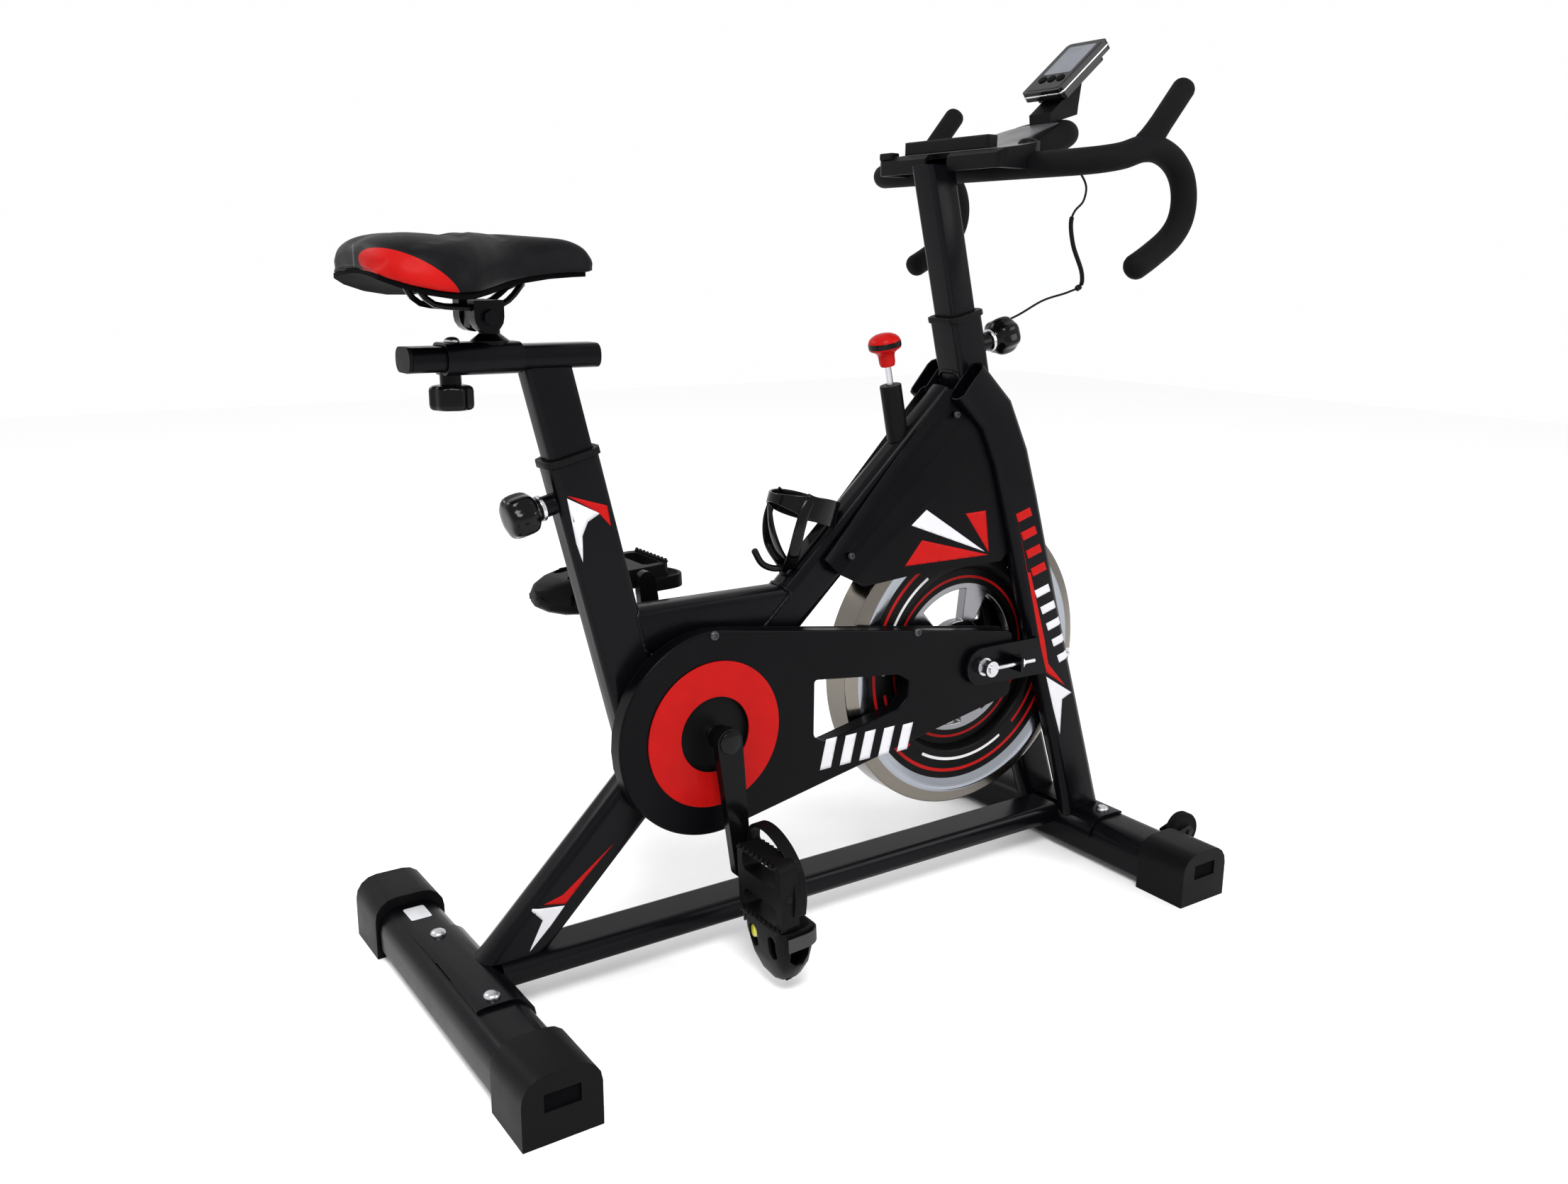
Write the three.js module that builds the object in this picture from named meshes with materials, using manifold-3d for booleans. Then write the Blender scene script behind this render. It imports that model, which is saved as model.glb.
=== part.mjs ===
// Indoor spin bike, in millimetres. +X is the front, +Y the rider's left, +Z up, and the floor is z = 0.
// The origin lies on the floor under the middle of the bike's overall length and width.
// The belt drive is on the right, at negative Y.
import * as THREE from "three";
import { mergeVertices } from "three/addons/utils/BufferGeometryUtils.js";
import Module from "manifold-3d";

const wasm = await Module();
wasm.setup();

// ---------------------------------------------------------------- driving dimensions
const GAP = 0.3; // clearance between pieces that touch
const MAST_TILT = THREE.MathUtils.degToRad(14); // seat tube and head tube both lean back

const REAR_FOOT = { x: -480, length: 526, capWidth: 88, capHeight: 77 };
const FRONT_FOOT = { x: 466, length: 542, capWidth: 86, capHeight: 74 };
const FOOT_TUBE = { width: 80, bottom: 8, top: 63, topRadius: 25, bottomRadius: 8, wall: 2 };
const CAP_LENGTH = 79;
const JOINT_PLATE = { halfLength: 100, thickness: 4, boltY: 83 };

const FRAME_TUBE = { width: 60, depth: 40, radius: 12, wall: 2.5 };
const KEEL_TUBE = { width: 60, height: 30, bottom: 35, radius: 9, wall: 2 };
const SEAT_TOP = { x: -332, z: 632 }; // centre of the seat tube's mouth
const SEAT_TUBE = { width: 62, depth: 42, radius: 10, wall: 2, length: 412 };
const SEAT_POST = { width: 54, depth: 34, radius: 8, wall: 2, inserted: 190 };
const HEAD_TOP = { x: 219, z: 775 }; // centre of the head tube's mouth
const HEAD_TUBE = { width: 50, radius: 7, wall: 2.5, length: 136 };
const BAR_POST = { width: 40, radius: 6, wall: 2, inserted: 150 };
const FORK_LEG = { thickness: 28, width: 60, radius: 10, wall: 2.5, spread: 45, headSpread: 40 };

const CRANK = { x: -178, z: 300, arm: 165, outboard: 81, thickness: 12 };
const AXLE = { x: 240, z: 318, radius: 6 };
const FLYWHEEL = { radius: 204, halfWidth: 27, face: 22, discRadius: 168, crest: 186 };
const BELT = { inner: -36, outer: -49, play: 0.9, thickness: 2.4, bigRadius: 102, smallRadius: 32 };
const COVER = {
  face: -52, back: -30, radius: 126, wall: 2.5, frontX: 299, frontTop: 359, frontBottom: 264,
};

const BEAM = { rear: -470, front: -303, bottom: 732, width: 44, height: 26, wall: 2.5 };
const SADDLE = { pivotX: -428, pivotZ: 787 };
const BAR = { radius: 15.5, loopRadius: 16 };

// ---------------------------------------------------------------- materials
const paint = (color, roughness, metalness) => (
  new THREE.MeshStandardMaterial({ color, roughness, metalness })
);
const BLACK_PAINT = () => paint(0x141417, 0.38, 0.3);
const BLACK_PLASTIC = () => paint(0x18181a, 0.5, 0);
const GLOSS_PLASTIC = () => paint(0x0d0d0f, 0.2, 0);
const RUBBER = () => paint(0x101011, 0.8, 0);
const STEEL = () => paint(0xb9bbbf, 0.3, 1);
const CHROME = () => paint(0xd6d7da, 0.12, 1);
const RED = () => paint(0xc0141a, 0.3, 0);

// ---------------------------------------------------------------- geometry helpers
/** Turns a closed three.js geometry into a solid that can be joined and cut. */
function solid(geometry) {
  const bare = geometry.index ? geometry.toNonIndexed() : geometry.clone();
  for (const name of Object.keys(bare.attributes)) {
    if (name !== "position") bare.deleteAttribute(name);
  }
  const merged = mergeVertices(bare, 1e-3);
  const index = merged.index.array;
  const kept = [];
  for (let i = 0; i < index.length; i += 3) {
    const [a, b, c] = [index[i], index[i + 1], index[i + 2]];
    if (a !== b && b !== c && c !== a) kept.push(a, b, c);
  }
  const vertProperties = merged.attributes.position.array;
  return new wasm.Manifold(new wasm.Mesh({ numProp: 3, vertProperties, triVerts: new Uint32Array(kept) }));
}

/** Turns a solid back into a three.js geometry. */
function geometryOf(body) {
  const mesh = body.getMesh();
  const geometry = new THREE.BufferGeometry();
  geometry.setAttribute("position", new THREE.BufferAttribute(mesh.vertProperties, 3));
  geometry.setIndex(new THREE.BufferAttribute(mesh.triVerts, 1));
  geometry.computeVertexNormals();
  return geometry;
}

const moved = (body, x, y, z) => body.translate([x, y, z]);
const mirroredY = (body) => body.mirror([0, 1, 0]);
const underMatrix = (body, matrix) => body.transform(Array.from(matrix.elements));

/** A rectangle with round corners, centred on the origin. */
function roundedShape(width, height, radius) {
  const shape = new THREE.Shape();
  const x = width / 2 - radius;
  const y = height / 2 - radius;
  const quarter = Math.PI / 2;
  shape.absarc(x, -y, radius, -quarter, 0);
  shape.absarc(x, y, radius, 0, quarter);
  shape.absarc(-x, y, radius, quarter, 2 * quarter);
  shape.absarc(-x, -y, radius, 2 * quarter, 3 * quarter);
  return shape;
}

/** A polygon through points [x, y]. */
function polygon(points) {
  return new THREE.Shape(points.map(([x, y]) => new THREE.Vector2(x, y)));
}

/** The bore of a rolled tube: a rectangle with cut corners, centred on the origin. */
function boreShape(width, height, cut) {
  const [x, y] = [width / 2, height / 2];
  return polygon([
    [x - cut, -y], [x, cut - y], [x, y - cut], [x - cut, y],
    [cut - x, y], [-x, y - cut], [-x, cut - y], [cut - x, -y],
  ]);
}

/** Extrudes a shape along +Z from z = 0. */
function extruded(shape, depth, curveSegments = 1) {
  return solid(new THREE.ExtrudeGeometry(shape, { depth, bevelEnabled: false, curveSegments }));
}

/** Extrudes a shape drawn in X and Z along Y, from y0 to y1. */
function alongY(shape, y0, y1, curveSegments = 1) {
  return moved(extruded(shape, y1 - y0, curveSegments).rotate([90, 0, 0]), 0, y1, 0);
}

/** Extrudes a shape drawn in Y and Z along X, from x0 to x1. */
function alongX(shape, x0, x1, curveSegments = 1) {
  const axes = new THREE.Matrix4().makeBasis(
    new THREE.Vector3(0, 1, 0),
    new THREE.Vector3(0, 0, 1),
    new THREE.Vector3(1, 0, 0),
  );
  return moved(underMatrix(extruded(shape, x1 - x0, curveSegments), axes), x0, 0, 0);
}

/** A shape swept along a curve. */
function swept(shape, curve, steps, curveSegments = 1) {
  return solid(new THREE.ExtrudeGeometry(shape, { steps, extrudePath: curve, curveSegments }));
}

/** A round section with the given number of sides. */
function roundShape(radius, sides) {
  const corners = Array.from({ length: sides }, (_, i) => {
    const angle = (2 * Math.PI * i) / sides;
    return [radius * Math.cos(angle), radius * Math.sin(angle)];
  });
  return polygon(corners);
}

/** A solid of revolution about Z from a closed profile of [radius, height]. */
function turned(profile, sides) {
  const points = profile.map(([r, z]) => new THREE.Vector2(r, z));
  return solid(new THREE.LatheGeometry(points, sides)).rotate([90, 0, 0]);
}

/** A cylinder about Z from z0 to z1, with an optional hole. */
function rod(radius, z0, z1, sides = 16, hole = 0) {
  const profile = hole > 0
    ? [[hole, z0], [radius, z0], [radius, z1], [hole, z1], [hole, z0]]
    : [[0, z0], [radius, z0], [radius, z1], [0, z1]];
  return turned(profile, sides);
}

/** A cylinder along Y at (x, z). */
function pinY(x, z, radius, y0, y1, sides = 16, hole = 0) {
  return moved(rod(radius, -y1, -y0, sides, hole).rotate([90, 0, 0]), x, 0, z);
}

/** A box given by its lowest and highest corners. */
function block([x0, y0, z0], [x1, y1, z1]) {
  const box = new THREE.BoxGeometry(x1 - x0, y1 - y0, z1 - z0);
  return moved(solid(box), (x0 + x1) / 2, (y0 + y1) / 2, (z0 + z1) / 2);
}

/** A hollow tube with a rounded rectangular section along +Z; width lies on X and depth on Y. */
function boxTube(width, depth, radius, wall, z0, z1) {
  const shape = roundedShape(width, depth, radius);
  if (wall > 0) shape.holes.push(boreShape(width - 2 * wall, depth - 2 * wall, radius * 0.6));
  return moved(extruded(shape, z1 - z0), 0, 0, z0);
}

/** The matrix that takes +Z to the line from `a` to `b` in the X-Z plane and leaves Y alone. */
function alongLine(a, b) {
  const turn = new THREE.Matrix4().makeRotationY(Math.atan2(b[0] - a[0], b[1] - a[1]));
  return turn.setPosition(a[0], 0, a[1]);
}

const lengthOf = (a, b) => Math.hypot(b[0] - a[0], b[1] - a[1]);

/** A closed skin through rings of equal point count, with flat ends. */
function lofted(rings) {
  const count = rings[0].length;
  const positions = rings.flat(2);
  const centre = (ring) => ring.reduce((sum, p) => sum.map((v, k) => v + p[k] / count), [0, 0, 0]);
  positions.push(...centre(rings[0]), ...centre(rings.at(-1)));
  const first = rings.length * count;
  const triangles = [];
  for (let j = 0; j < count; j += 1) {
    const next = (j + 1) % count;
    for (let i = 0; i + 1 < rings.length; i += 1) {
      const [a, b] = [i * count + j, i * count + next];
      triangles.push(a, b, b + count, a, b + count, a + count);
    }
    const last = (rings.length - 1) * count;
    triangles.push(first, next, j, first + 1, last + j, last + next);
  }
  const geometry = new THREE.BufferGeometry();
  geometry.setAttribute("position", new THREE.Float32BufferAttribute(positions, 3));
  geometry.setIndex(triangles);
  return solid(geometry);
}

// ---------------------------------------------------------------- scene
const bike = new THREE.Group();

/** Adds a named mesh to a group. */
function add(name, body, material, parent = bike) {
  const mesh = new THREE.Mesh(geometryOf(body), material);
  mesh.name = name;
  parent.add(mesh);
}

/** A group whose +Z runs up a leaning mast. */
function mast(foot) {
  const group = new THREE.Group();
  group.position.set(foot.x, 0, foot.z);
  group.rotation.y = -MAST_TILT;
  group.updateMatrixWorld();
  bike.add(group);
  return group;
}
const seatMast = mast(SEAT_TOP);
const headMast = mast(HEAD_TOP);
const inWorld = (body, group) => underMatrix(body, group.matrixWorld);
const fromWorld = (body, group) => underMatrix(body, group.matrixWorld.clone().invert());

// ---------------------------------------------------------------- stabilisers
/** The D-shaped section of a foot tube, centred on x, grown outwards by `grow`. */
function footSection(x, grow) {
  const { width, bottom, top, topRadius, bottomRadius } = FOOT_TUBE;
  const shape = new THREE.Shape();
  const half = width / 2;
  const quarter = Math.PI / 2;
  shape.absarc(x + half - bottomRadius, bottom + bottomRadius, bottomRadius + grow, -quarter, 0);
  shape.absarc(x + half - topRadius, top - topRadius, topRadius + grow, 0, quarter);
  shape.absarc(x - half + topRadius, top - topRadius, topRadius + grow, quarter, 2 * quarter);
  const heel = bottomRadius + grow;
  shape.absarc(x - half + bottomRadius, bottom + bottomRadius, heel, 2 * quarter, 3 * quarter);
  return shape;
}

function footTube({ x, length }) {
  const half = length / 2 - 8;
  const shape = footSection(x, 0);
  shape.holes.push(footSection(x, -FOOT_TUBE.wall));
  return alongY(shape, -half, half, 2);
}

/** A moulded cap that sleeves over the right-hand end of a foot tube and stands on the floor. */
function footCap({ x, length, capWidth, capHeight }) {
  const end = -length / 2;
  const half = capWidth / 2;
  const crown = 27;
  const shape = new THREE.Shape();
  shape.moveTo(x - half, 0);
  shape.lineTo(x + half, 0);
  shape.absarc(x + half - crown, capHeight - crown, crown, 0, Math.PI / 2);
  shape.absarc(x - half + crown, capHeight - crown, crown, Math.PI / 2, Math.PI);
  const pocket = alongY(footSection(x, GAP), end + 8 - GAP, end + CAP_LENGTH + 1, 2);
  const recess = block([x - 20, end - 1, 36], [x + 20, end + 4, 56]);
  return alongY(shape, end, end + CAP_LENGTH, 2).subtract(pocket).subtract(recess);
}

for (const [name, foot] of [["rear", REAR_FOOT], ["front", FRONT_FOOT]]) {
  const cap = footCap(foot);
  add(`${name}_foot_cap_right`, cap, BLACK_PLASTIC());
  add(`${name}_foot_cap_left`, mirroredY(cap), BLACK_PLASTIC());
}
add("rear_stabilizer", footTube(REAR_FOOT), BLACK_PAINT());

// Transport wheels hang on two forks welded to the front of the front stabiliser.
const WHEEL = { x: 533, y: 174, z: 54, radius: 26, width: 20, bore: 4.3 };
function transportFork() {
  const shape = new THREE.Shape();
  shape.moveTo(WHEEL.x - 30, WHEEL.z - 22);
  shape.lineTo(WHEEL.x, WHEEL.z - 12);
  shape.absarc(WHEEL.x, WHEEL.z, 12, -Math.PI / 2, Math.PI / 2);
  shape.lineTo(WHEEL.x - 30, WHEEL.z + 4);
  const inner = WHEEL.width / 2 + 1;
  const cheek = alongY(shape, WHEEL.y + inner, WHEEL.y + inner + 3);
  const other = alongY(shape, WHEEL.y - inner - 3, WHEEL.y - inner);
  const axle = pinY(WHEEL.x, WHEEL.z, 4, WHEEL.y - inner - 5, WHEEL.y + inner + 5, 16);
  return cheek.add(other).add(axle);
}
const frontTube = footTube(FRONT_FOOT);
const frontTubeBore = alongY(footSection(FRONT_FOOT.x, -FOOT_TUBE.wall), -300, 300, 2);
const forks = transportFork().add(mirroredY(transportFork())).subtract(frontTubeBore);
add("front_stabilizer", frontTube.add(forks), BLACK_PAINT());
const tyre = [
  [WHEEL.bore, -10], [14, -10], [WHEEL.radius - 3, -8], [WHEEL.radius, -5],
  [WHEEL.radius, 5], [WHEEL.radius - 3, 8], [14, 10], [WHEEL.bore, 10], [WHEEL.bore, -10],
];
for (const [name, side] of [["transport_wheel_right", -1], ["transport_wheel_left", 1]]) {
  const wheel = turned(tyre, 22).rotate([90, 0, 0]);
  add(name, moved(wheel, WHEEL.x, side * WHEEL.y, WHEEL.z), RUBBER());
}

// ---------------------------------------------------------------- keel tube and joint plates
const keelCentre = KEEL_TUBE.bottom + KEEL_TUBE.height / 2;
const keelFrom = REAR_FOOT.x + FOOT_TUBE.width / 2 + GAP;
const keelTo = FRONT_FOOT.x - FOOT_TUBE.width / 2 - GAP;
function keel(grow, x0, x1, hollow) {
  const { width, height, radius, wall } = KEEL_TUBE;
  const shape = roundedShape(width + 2 * grow, height + 2 * grow, radius + grow);
  if (hollow) shape.holes.push(boreShape(width - 2 * wall, height - 2 * wall, radius * 0.6));
  return moved(alongX(shape, x0, x1), 0, 0, keelCentre);
}
const footWrap = (x, grow) => alongY(footSection(x, grow), -300, 300, 2);
const keelEnds = footWrap(REAR_FOOT.x, GAP).add(footWrap(FRONT_FOOT.x, GAP));
add("keel_tube", keel(0, keelFrom - 4, keelTo + 4, true).subtract(keelEnds), BLACK_PAINT());

/** A bent steel plate over one foot tube, welded to the frame. `inner` is the keel's side, +1 or -1. */
function jointPlate(foot, inner) {
  const { halfLength, thickness, boltY } = JOINT_PLATE;
  const outside = alongY(footSection(foot.x, GAP + thickness), -halfLength, halfLength, 2);
  const inside = footWrap(foot.x, GAP);
  const [a, b] = [foot.x - inner * 24, foot.x + inner * 60].sort((m, n) => m - n);
  const kept = block([a, -halfLength - 1, 40], [b, halfLength + 1, 90]);
  const keelRoom = keel(GAP, foot.x - 90, foot.x + 90, false);
  const plate = outside.subtract(inside).intersect(kept).subtract(keelRoom);
  const top = FOOT_TUBE.top + GAP + thickness - 0.5;
  const head = moved(turned([[0, 0], [8.5, 0], [8.5, 2.5], [6, 5], [0, 6]], 20), foot.x, 0, top);
  return plate.add(moved(head, 0, -boltY, 0)).add(moved(head, 0, boltY, 0));
}
add("rear_joint_plate", jointPlate(REAR_FOOT, 1), BLACK_PAINT());
add("front_joint_plate", jointPlate(FRONT_FOOT, -1), BLACK_PAINT());
const plateEnvelopes = footWrap(REAR_FOOT.x, 2 * GAP + JOINT_PLATE.thickness)
  .add(footWrap(FRONT_FOOT.x, 2 * GAP + JOINT_PLATE.thickness))
  .add(keel(GAP, REAR_FOOT.x, FRONT_FOOT.x, false));

// ---------------------------------------------------------------- frame tubes
const { width: tubeWidth, depth: tubeDepth, radius: tubeRadius, wall: tubeWall } = FRAME_TUBE;

/** A frame tube between two points of the X-Z plane; `grow` gives its envelope. */
function frameTube(a, b, grow = 0) {
  const wall = grow > 0 ? 0 : tubeWall;
  const [width, depth] = [tubeWidth + 2 * grow, tubeDepth + 2 * grow];
  return underMatrix(boxTube(width, depth, tubeRadius + grow, wall, 0, lengthOf(a, b)), alongLine(a, b));
}
const seatTubeEnvelope = inWorld(
  boxTube(
    SEAT_TUBE.width + 2 * GAP, SEAT_TUBE.depth + 2 * GAP, SEAT_TUBE.radius, 0, -SEAT_TUBE.length - 60, 40,
  ),
  seatMast,
);
const headEnvelope = inWorld(
  boxTube(
    HEAD_TUBE.width + 2 * GAP, HEAD_TUBE.width + 2 * GAP, HEAD_TUBE.radius, 0, -HEAD_TUBE.length, 40,
  ),
  headMast,
);
const downTubeFoot = [CRANK.x, CRANK.z + 2.6];
const headJoint = [213.5, 670.2];
const shellEnvelope = pinY(CRANK.x, CRANK.z, 28 + GAP, -60, 60, 24);
const downTubeEnvelope = frameTube(downTubeFoot, headJoint, GAP);

// The brake rod leans back and runs through the down tube to the flywheel's rim.
const BRAKE = { x: 125.5, z: 641, tilt: THREE.MathUtils.degToRad(12), rodRadius: 4 };
const brakeGroup = new THREE.Group();
brakeGroup.position.set(BRAKE.x, 0, BRAKE.z);
brakeGroup.rotation.y = -BRAKE.tilt;
brakeGroup.updateMatrixWorld();
bike.add(brakeGroup);
const brakeBore = inWorld(rod(BRAKE.rodRadius + 1.5, -120, 20, 16), brakeGroup);

const strut = frameTube([-500, -10.5], [-215, 274.5]).subtract(plateEnvelopes).subtract(seatTubeEnvelope);
const strutKept = block([-560, -30, 0], [-150, 30, 262]);
add("rear_strut", largest(strut.intersect(strutKept)), BLACK_PAINT());
const downTubeRoom = shellEnvelope.add(headEnvelope).add(brakeBore);
add("down_tube", largest(frameTube(downTubeFoot, headJoint).subtract(downTubeRoom)), BLACK_PAINT());
const topTubeZ = 427;
const topTubeRoom = seatTubeEnvelope.add(downTubeEnvelope);
add("top_tube", largest(frameTube([-290, topTubeZ], [-30, topTubeZ]).subtract(topTubeRoom)), BLACK_PAINT());

/** The biggest of the separate pieces left by a cut. */
function largest(body) {
  return body.decompose().reduce((best, piece) => (piece.volume() > best.volume() ? piece : best));
}

// Bottom bracket shell, with the bearings' cups pressed in and a bore for the spindle.
const spindleRadius = 8.5;
const bearingCup = (y0, y1) => pinY(CRANK.x, CRANK.z, 24.5, y0, y1, 24, spindleRadius + 0.4);
add("bottom_bracket_shell",
  pinY(CRANK.x, CRANK.z, 28, -34, 34, 24, 24).add(bearingCup(-33, -18)).add(bearingCup(18, 33)),
  BLACK_PAINT());

/** A threaded boss on the wall of a mast tube, about the local X axis. */
function boss(wallX, direction, z, length, radius, bore) {
  const ring = rod(radius, 0, length, 20, bore).rotate([0, 90 * direction, 0]);
  return moved(ring, wallX, 0, z);
}

// The clamping screws of the two masts: the seat tube's is at the rear, the head tube's at the front.
const SCREW = { bore: 5.4, bossRadius: 12 };
const seatScrewZ = -41;
const headScrewZ = -42;
const seatBossAt = -SEAT_TUBE.width / 2;
const headBossAt = HEAD_TUBE.width / 2;
const mastBore = (radius, z) => moved(rod(radius, -60, 60, 16).rotate([0, 90, 0]), 0, 0, z);
const halfSpace = (sign) => block([sign > 0 ? 0 : -200, -60, -400], [sign > 0 ? 200 : 0, 60, 200]);
add("seat_tube",
  boxTube(SEAT_TUBE.width, SEAT_TUBE.depth, SEAT_TUBE.radius, SEAT_TUBE.wall, -SEAT_TUBE.length, 0)
    .add(boss(seatBossAt + 1, -1, seatScrewZ, 15, SCREW.bossRadius, 3))
    .subtract(mastBore(SCREW.bore, seatScrewZ).intersect(halfSpace(-1))),
  BLACK_PAINT(), seatMast);

/** A plastic collar: a flange on the tube's mouth and a thin sleeve between the tube and its post. */
function collar(tube, post, depth, length) {
  const slack = 0.4;
  const [tubeW, tubeD] = [tube.width - 2 * tube.wall, (tube.depth ?? tube.width) - 2 * tube.wall];
  const [postW, postD] = [post.width + 2 * slack, (post.depth ?? post.width) + 2 * slack];
  const flange = boxTube(tube.width + 6, (tube.depth ?? tube.width) + 6, tube.radius + 3, 0, GAP, depth);
  const sleeveShape = boreShape(tubeW - 2 * GAP, tubeD - 2 * GAP, tube.radius * 0.6);
  const sleeve = moved(extruded(sleeveShape, length + GAP + 1), 0, 0, -length);
  return flange.add(sleeve).subtract(boxTube(postW, postD, post.radius + slack, 0, -length - 1, depth + 1));
}
add("seat_tube_collar",
  collar(SEAT_TUBE, SEAT_POST, 8, 80).subtract(mastBore(SCREW.bore, seatScrewZ)),
  BLACK_PLASTIC(), seatMast);

// The sensor cable enters the head tube through a small hole in its left wall.
const CABLE = { radius: 1.6, entry: [10, -65], exit: [346, -16] };
const cableHole = pinY(...CABLE.entry, CABLE.radius + GAP, 0, 40, 12);
add("head_tube",
  boxTube(HEAD_TUBE.width, HEAD_TUBE.width, HEAD_TUBE.radius, HEAD_TUBE.wall, -HEAD_TUBE.length, 0)
    .add(boss(headBossAt - 1, 1, headScrewZ, 24, SCREW.bossRadius, 3))
    .subtract(mastBore(SCREW.bore, headScrewZ).intersect(halfSpace(1)))
    .subtract(cableHole),
  BLACK_PAINT(), headMast);
add("head_tube_collar",
  collar(HEAD_TUBE, BAR_POST, 8, 60).subtract(mastBore(SCREW.bore, headScrewZ)),
  BLACK_PLASTIC(), headMast);

// Fork legs run from the head tube, round a shoulder, and straight down to the front joint plate.
const LEG_STEPS = 11;
function legPath() {
  const { spread, headSpread } = FORK_LEG;
  return new THREE.CatmullRomCurve3([
    [206, headSpread, 699], [233, headSpread, 676], [261, headSpread + 1, 643],
    [283, headSpread + 2, 590],
    [318, spread - 1, 478], [360, spread, 346], [404, spread, 216], [462, spread, 44],
  ].map((p) => new THREE.Vector3(...p)));
}
/** The section of a fork leg, grown outwards by `grow`. */
function legShape(grow) {
  const { thickness, width, radius } = FORK_LEG;
  return roundedShape(thickness + 2 * grow, width + 2 * grow, radius + grow);
}
function forkLeg() {
  const shape = legShape(0);
  const { thickness, width, radius, wall } = FORK_LEG;
  shape.holes.push(boreShape(thickness - 2 * wall, width - 2 * wall, radius * 0.6));
  return swept(shape, legPath(), LEG_STEPS);
}

// ---------------------------------------------------------------- flywheel and its axle
const wheelProfile = [
  [AXLE.radius + 0.5, -30], [24, -30], [24, -8], [124, -8], [132, -FLYWHEEL.face],
  [FLYWHEEL.discRadius, -FLYWHEEL.face], [FLYWHEEL.crest, -FLYWHEEL.halfWidth], [FLYWHEEL.radius, -21],
  [FLYWHEEL.radius, 21], [FLYWHEEL.crest, FLYWHEEL.halfWidth], [FLYWHEEL.discRadius, FLYWHEEL.face],
  [132, FLYWHEEL.face], [124, 8], [24, 8], [24, 30], [AXLE.radius + 0.5, 30], [AXLE.radius + 0.5, -30],
];
/** Lathe sections are drawn as [radius, y]; the wheel turns about Y at (x, z). */
const onAxleY = (profile, sides, x, z) => {
  const body = turned(profile.map(([r, y]) => [r, -y]).reverse(), sides);
  return moved(body.rotate([90, 0, 0]), x, 0, z);
};
let flywheel = onAxleY(wheelProfile, 36, AXLE.x, AXLE.z);
// Five kidney-shaped windows lighten the web.
for (let i = 0; i < 5; i += 1) {
  const start = (2 * Math.PI * i) / 5 + 0.2;
  const kidney = new THREE.Shape();
  kidney.absarc(AXLE.x, AXLE.z, 96, start, start + 0.85);
  kidney.absarc(AXLE.x, AXLE.z, 52, start + 0.85, start, true);
  flywheel = flywheel.subtract(alongY(kidney, -60, 60, 1));
}

const pulleyProfile = [
  [AXLE.radius + 0.5, BELT.outer + 0.5], [BELT.smallRadius, BELT.outer + 0.5],
  [BELT.smallRadius, BELT.inner + 1], [22, BELT.inner + 1], [22, -29], [AXLE.radius + 0.5, -29],
  [AXLE.radius + 0.5, BELT.outer + 0.5],
];
add("flywheel", flywheel.add(onAxleY(pulleyProfile, 36, AXLE.x, AXLE.z)), CHROME());

// The axle, with its flanged end nuts, is held by a bracket welded to the back of each fork leg.
const bracketY = 56;
/** Where the rear face of a fork leg lies at height z. */
const legRearX = (z) => 360 - ((z - 346) * 0.338) - FORK_LEG.width / 2 / Math.cos(Math.atan(0.338));
function axleBracket() {
  const [low, high] = [AXLE.z - 28, AXLE.z + 26];
  const shape = new THREE.Shape();
  shape.moveTo(legRearX(low) + 8, low);
  shape.lineTo(legRearX(high) + 8, high);
  shape.absarc(AXLE.x - 4, AXLE.z, 26, Math.PI / 2, 1.5 * Math.PI);
  const plate = alongY(shape, -bracketY - 5, -bracketY, 8);
  const lug = block([286, -bracketY - 28, AXLE.z - 10], [291, -bracketY - 4, AXLE.z + 10]);
  const slotHalf = AXLE.radius + 0.4;
  const slot = block(
    [AXLE.x - 10, -bracketY - 6, AXLE.z - slotHalf], [AXLE.x + 14, -bracketY + 1, AXLE.z + slotHalf],
  );
  const lugHole = alongX(roundShape(3.6, 12), 280, 296);
  return plate.add(lug).subtract(slot).subtract(moved(lugHole, 0, -bracketY - 19 - GAP, AXLE.z));
}
const legSolid = mirroredY(swept(legShape(-FORK_LEG.wall), legPath(), LEG_STEPS));
const legRight = mirroredY(largest(forkLeg().subtract(plateEnvelopes)))
  .add(axleBracket().subtract(legSolid));
add("fork_leg_right", legRight, BLACK_PAINT());
add("fork_leg_left", mirroredY(legRight), BLACK_PAINT());
const nutOut = bracketY + 5 + GAP;
function axleEnd() {
  const washer = pinY(AXLE.x, AXLE.z, 12.5, -nutOut - 2, -nutOut, 16);
  const nut = pinY(AXLE.x, AXLE.z, 10.5, -nutOut - 12, -nutOut - 2, 6);
  return washer.add(nut);
}
/** An eye bolt that pulls the axle forwards in its slots and so tightens the belt. */
function tensionBolt() {
  const y = -nutOut - 14;
  const eye = pinY(AXLE.x, AXLE.z, 11, y - 2.5, y + 2.5, 16);
  const shank = moved(alongX(roundShape(3, 12), AXLE.x + 8, AXLE.x + 78), 0, y, AXLE.z);
  const nut = moved(alongX(roundShape(6.5, 6), 291 + GAP, 297), 0, y, AXLE.z);
  return eye.add(shank).add(nut);
}
const axleHardware = axleEnd().add(tensionBolt());
add("flywheel_axle",
  pinY(AXLE.x, AXLE.z, AXLE.radius, -nutOut - 19, nutOut + 19, 16)
    .add(axleHardware)
    .add(mirroredY(axleHardware)),
  STEEL());

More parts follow.
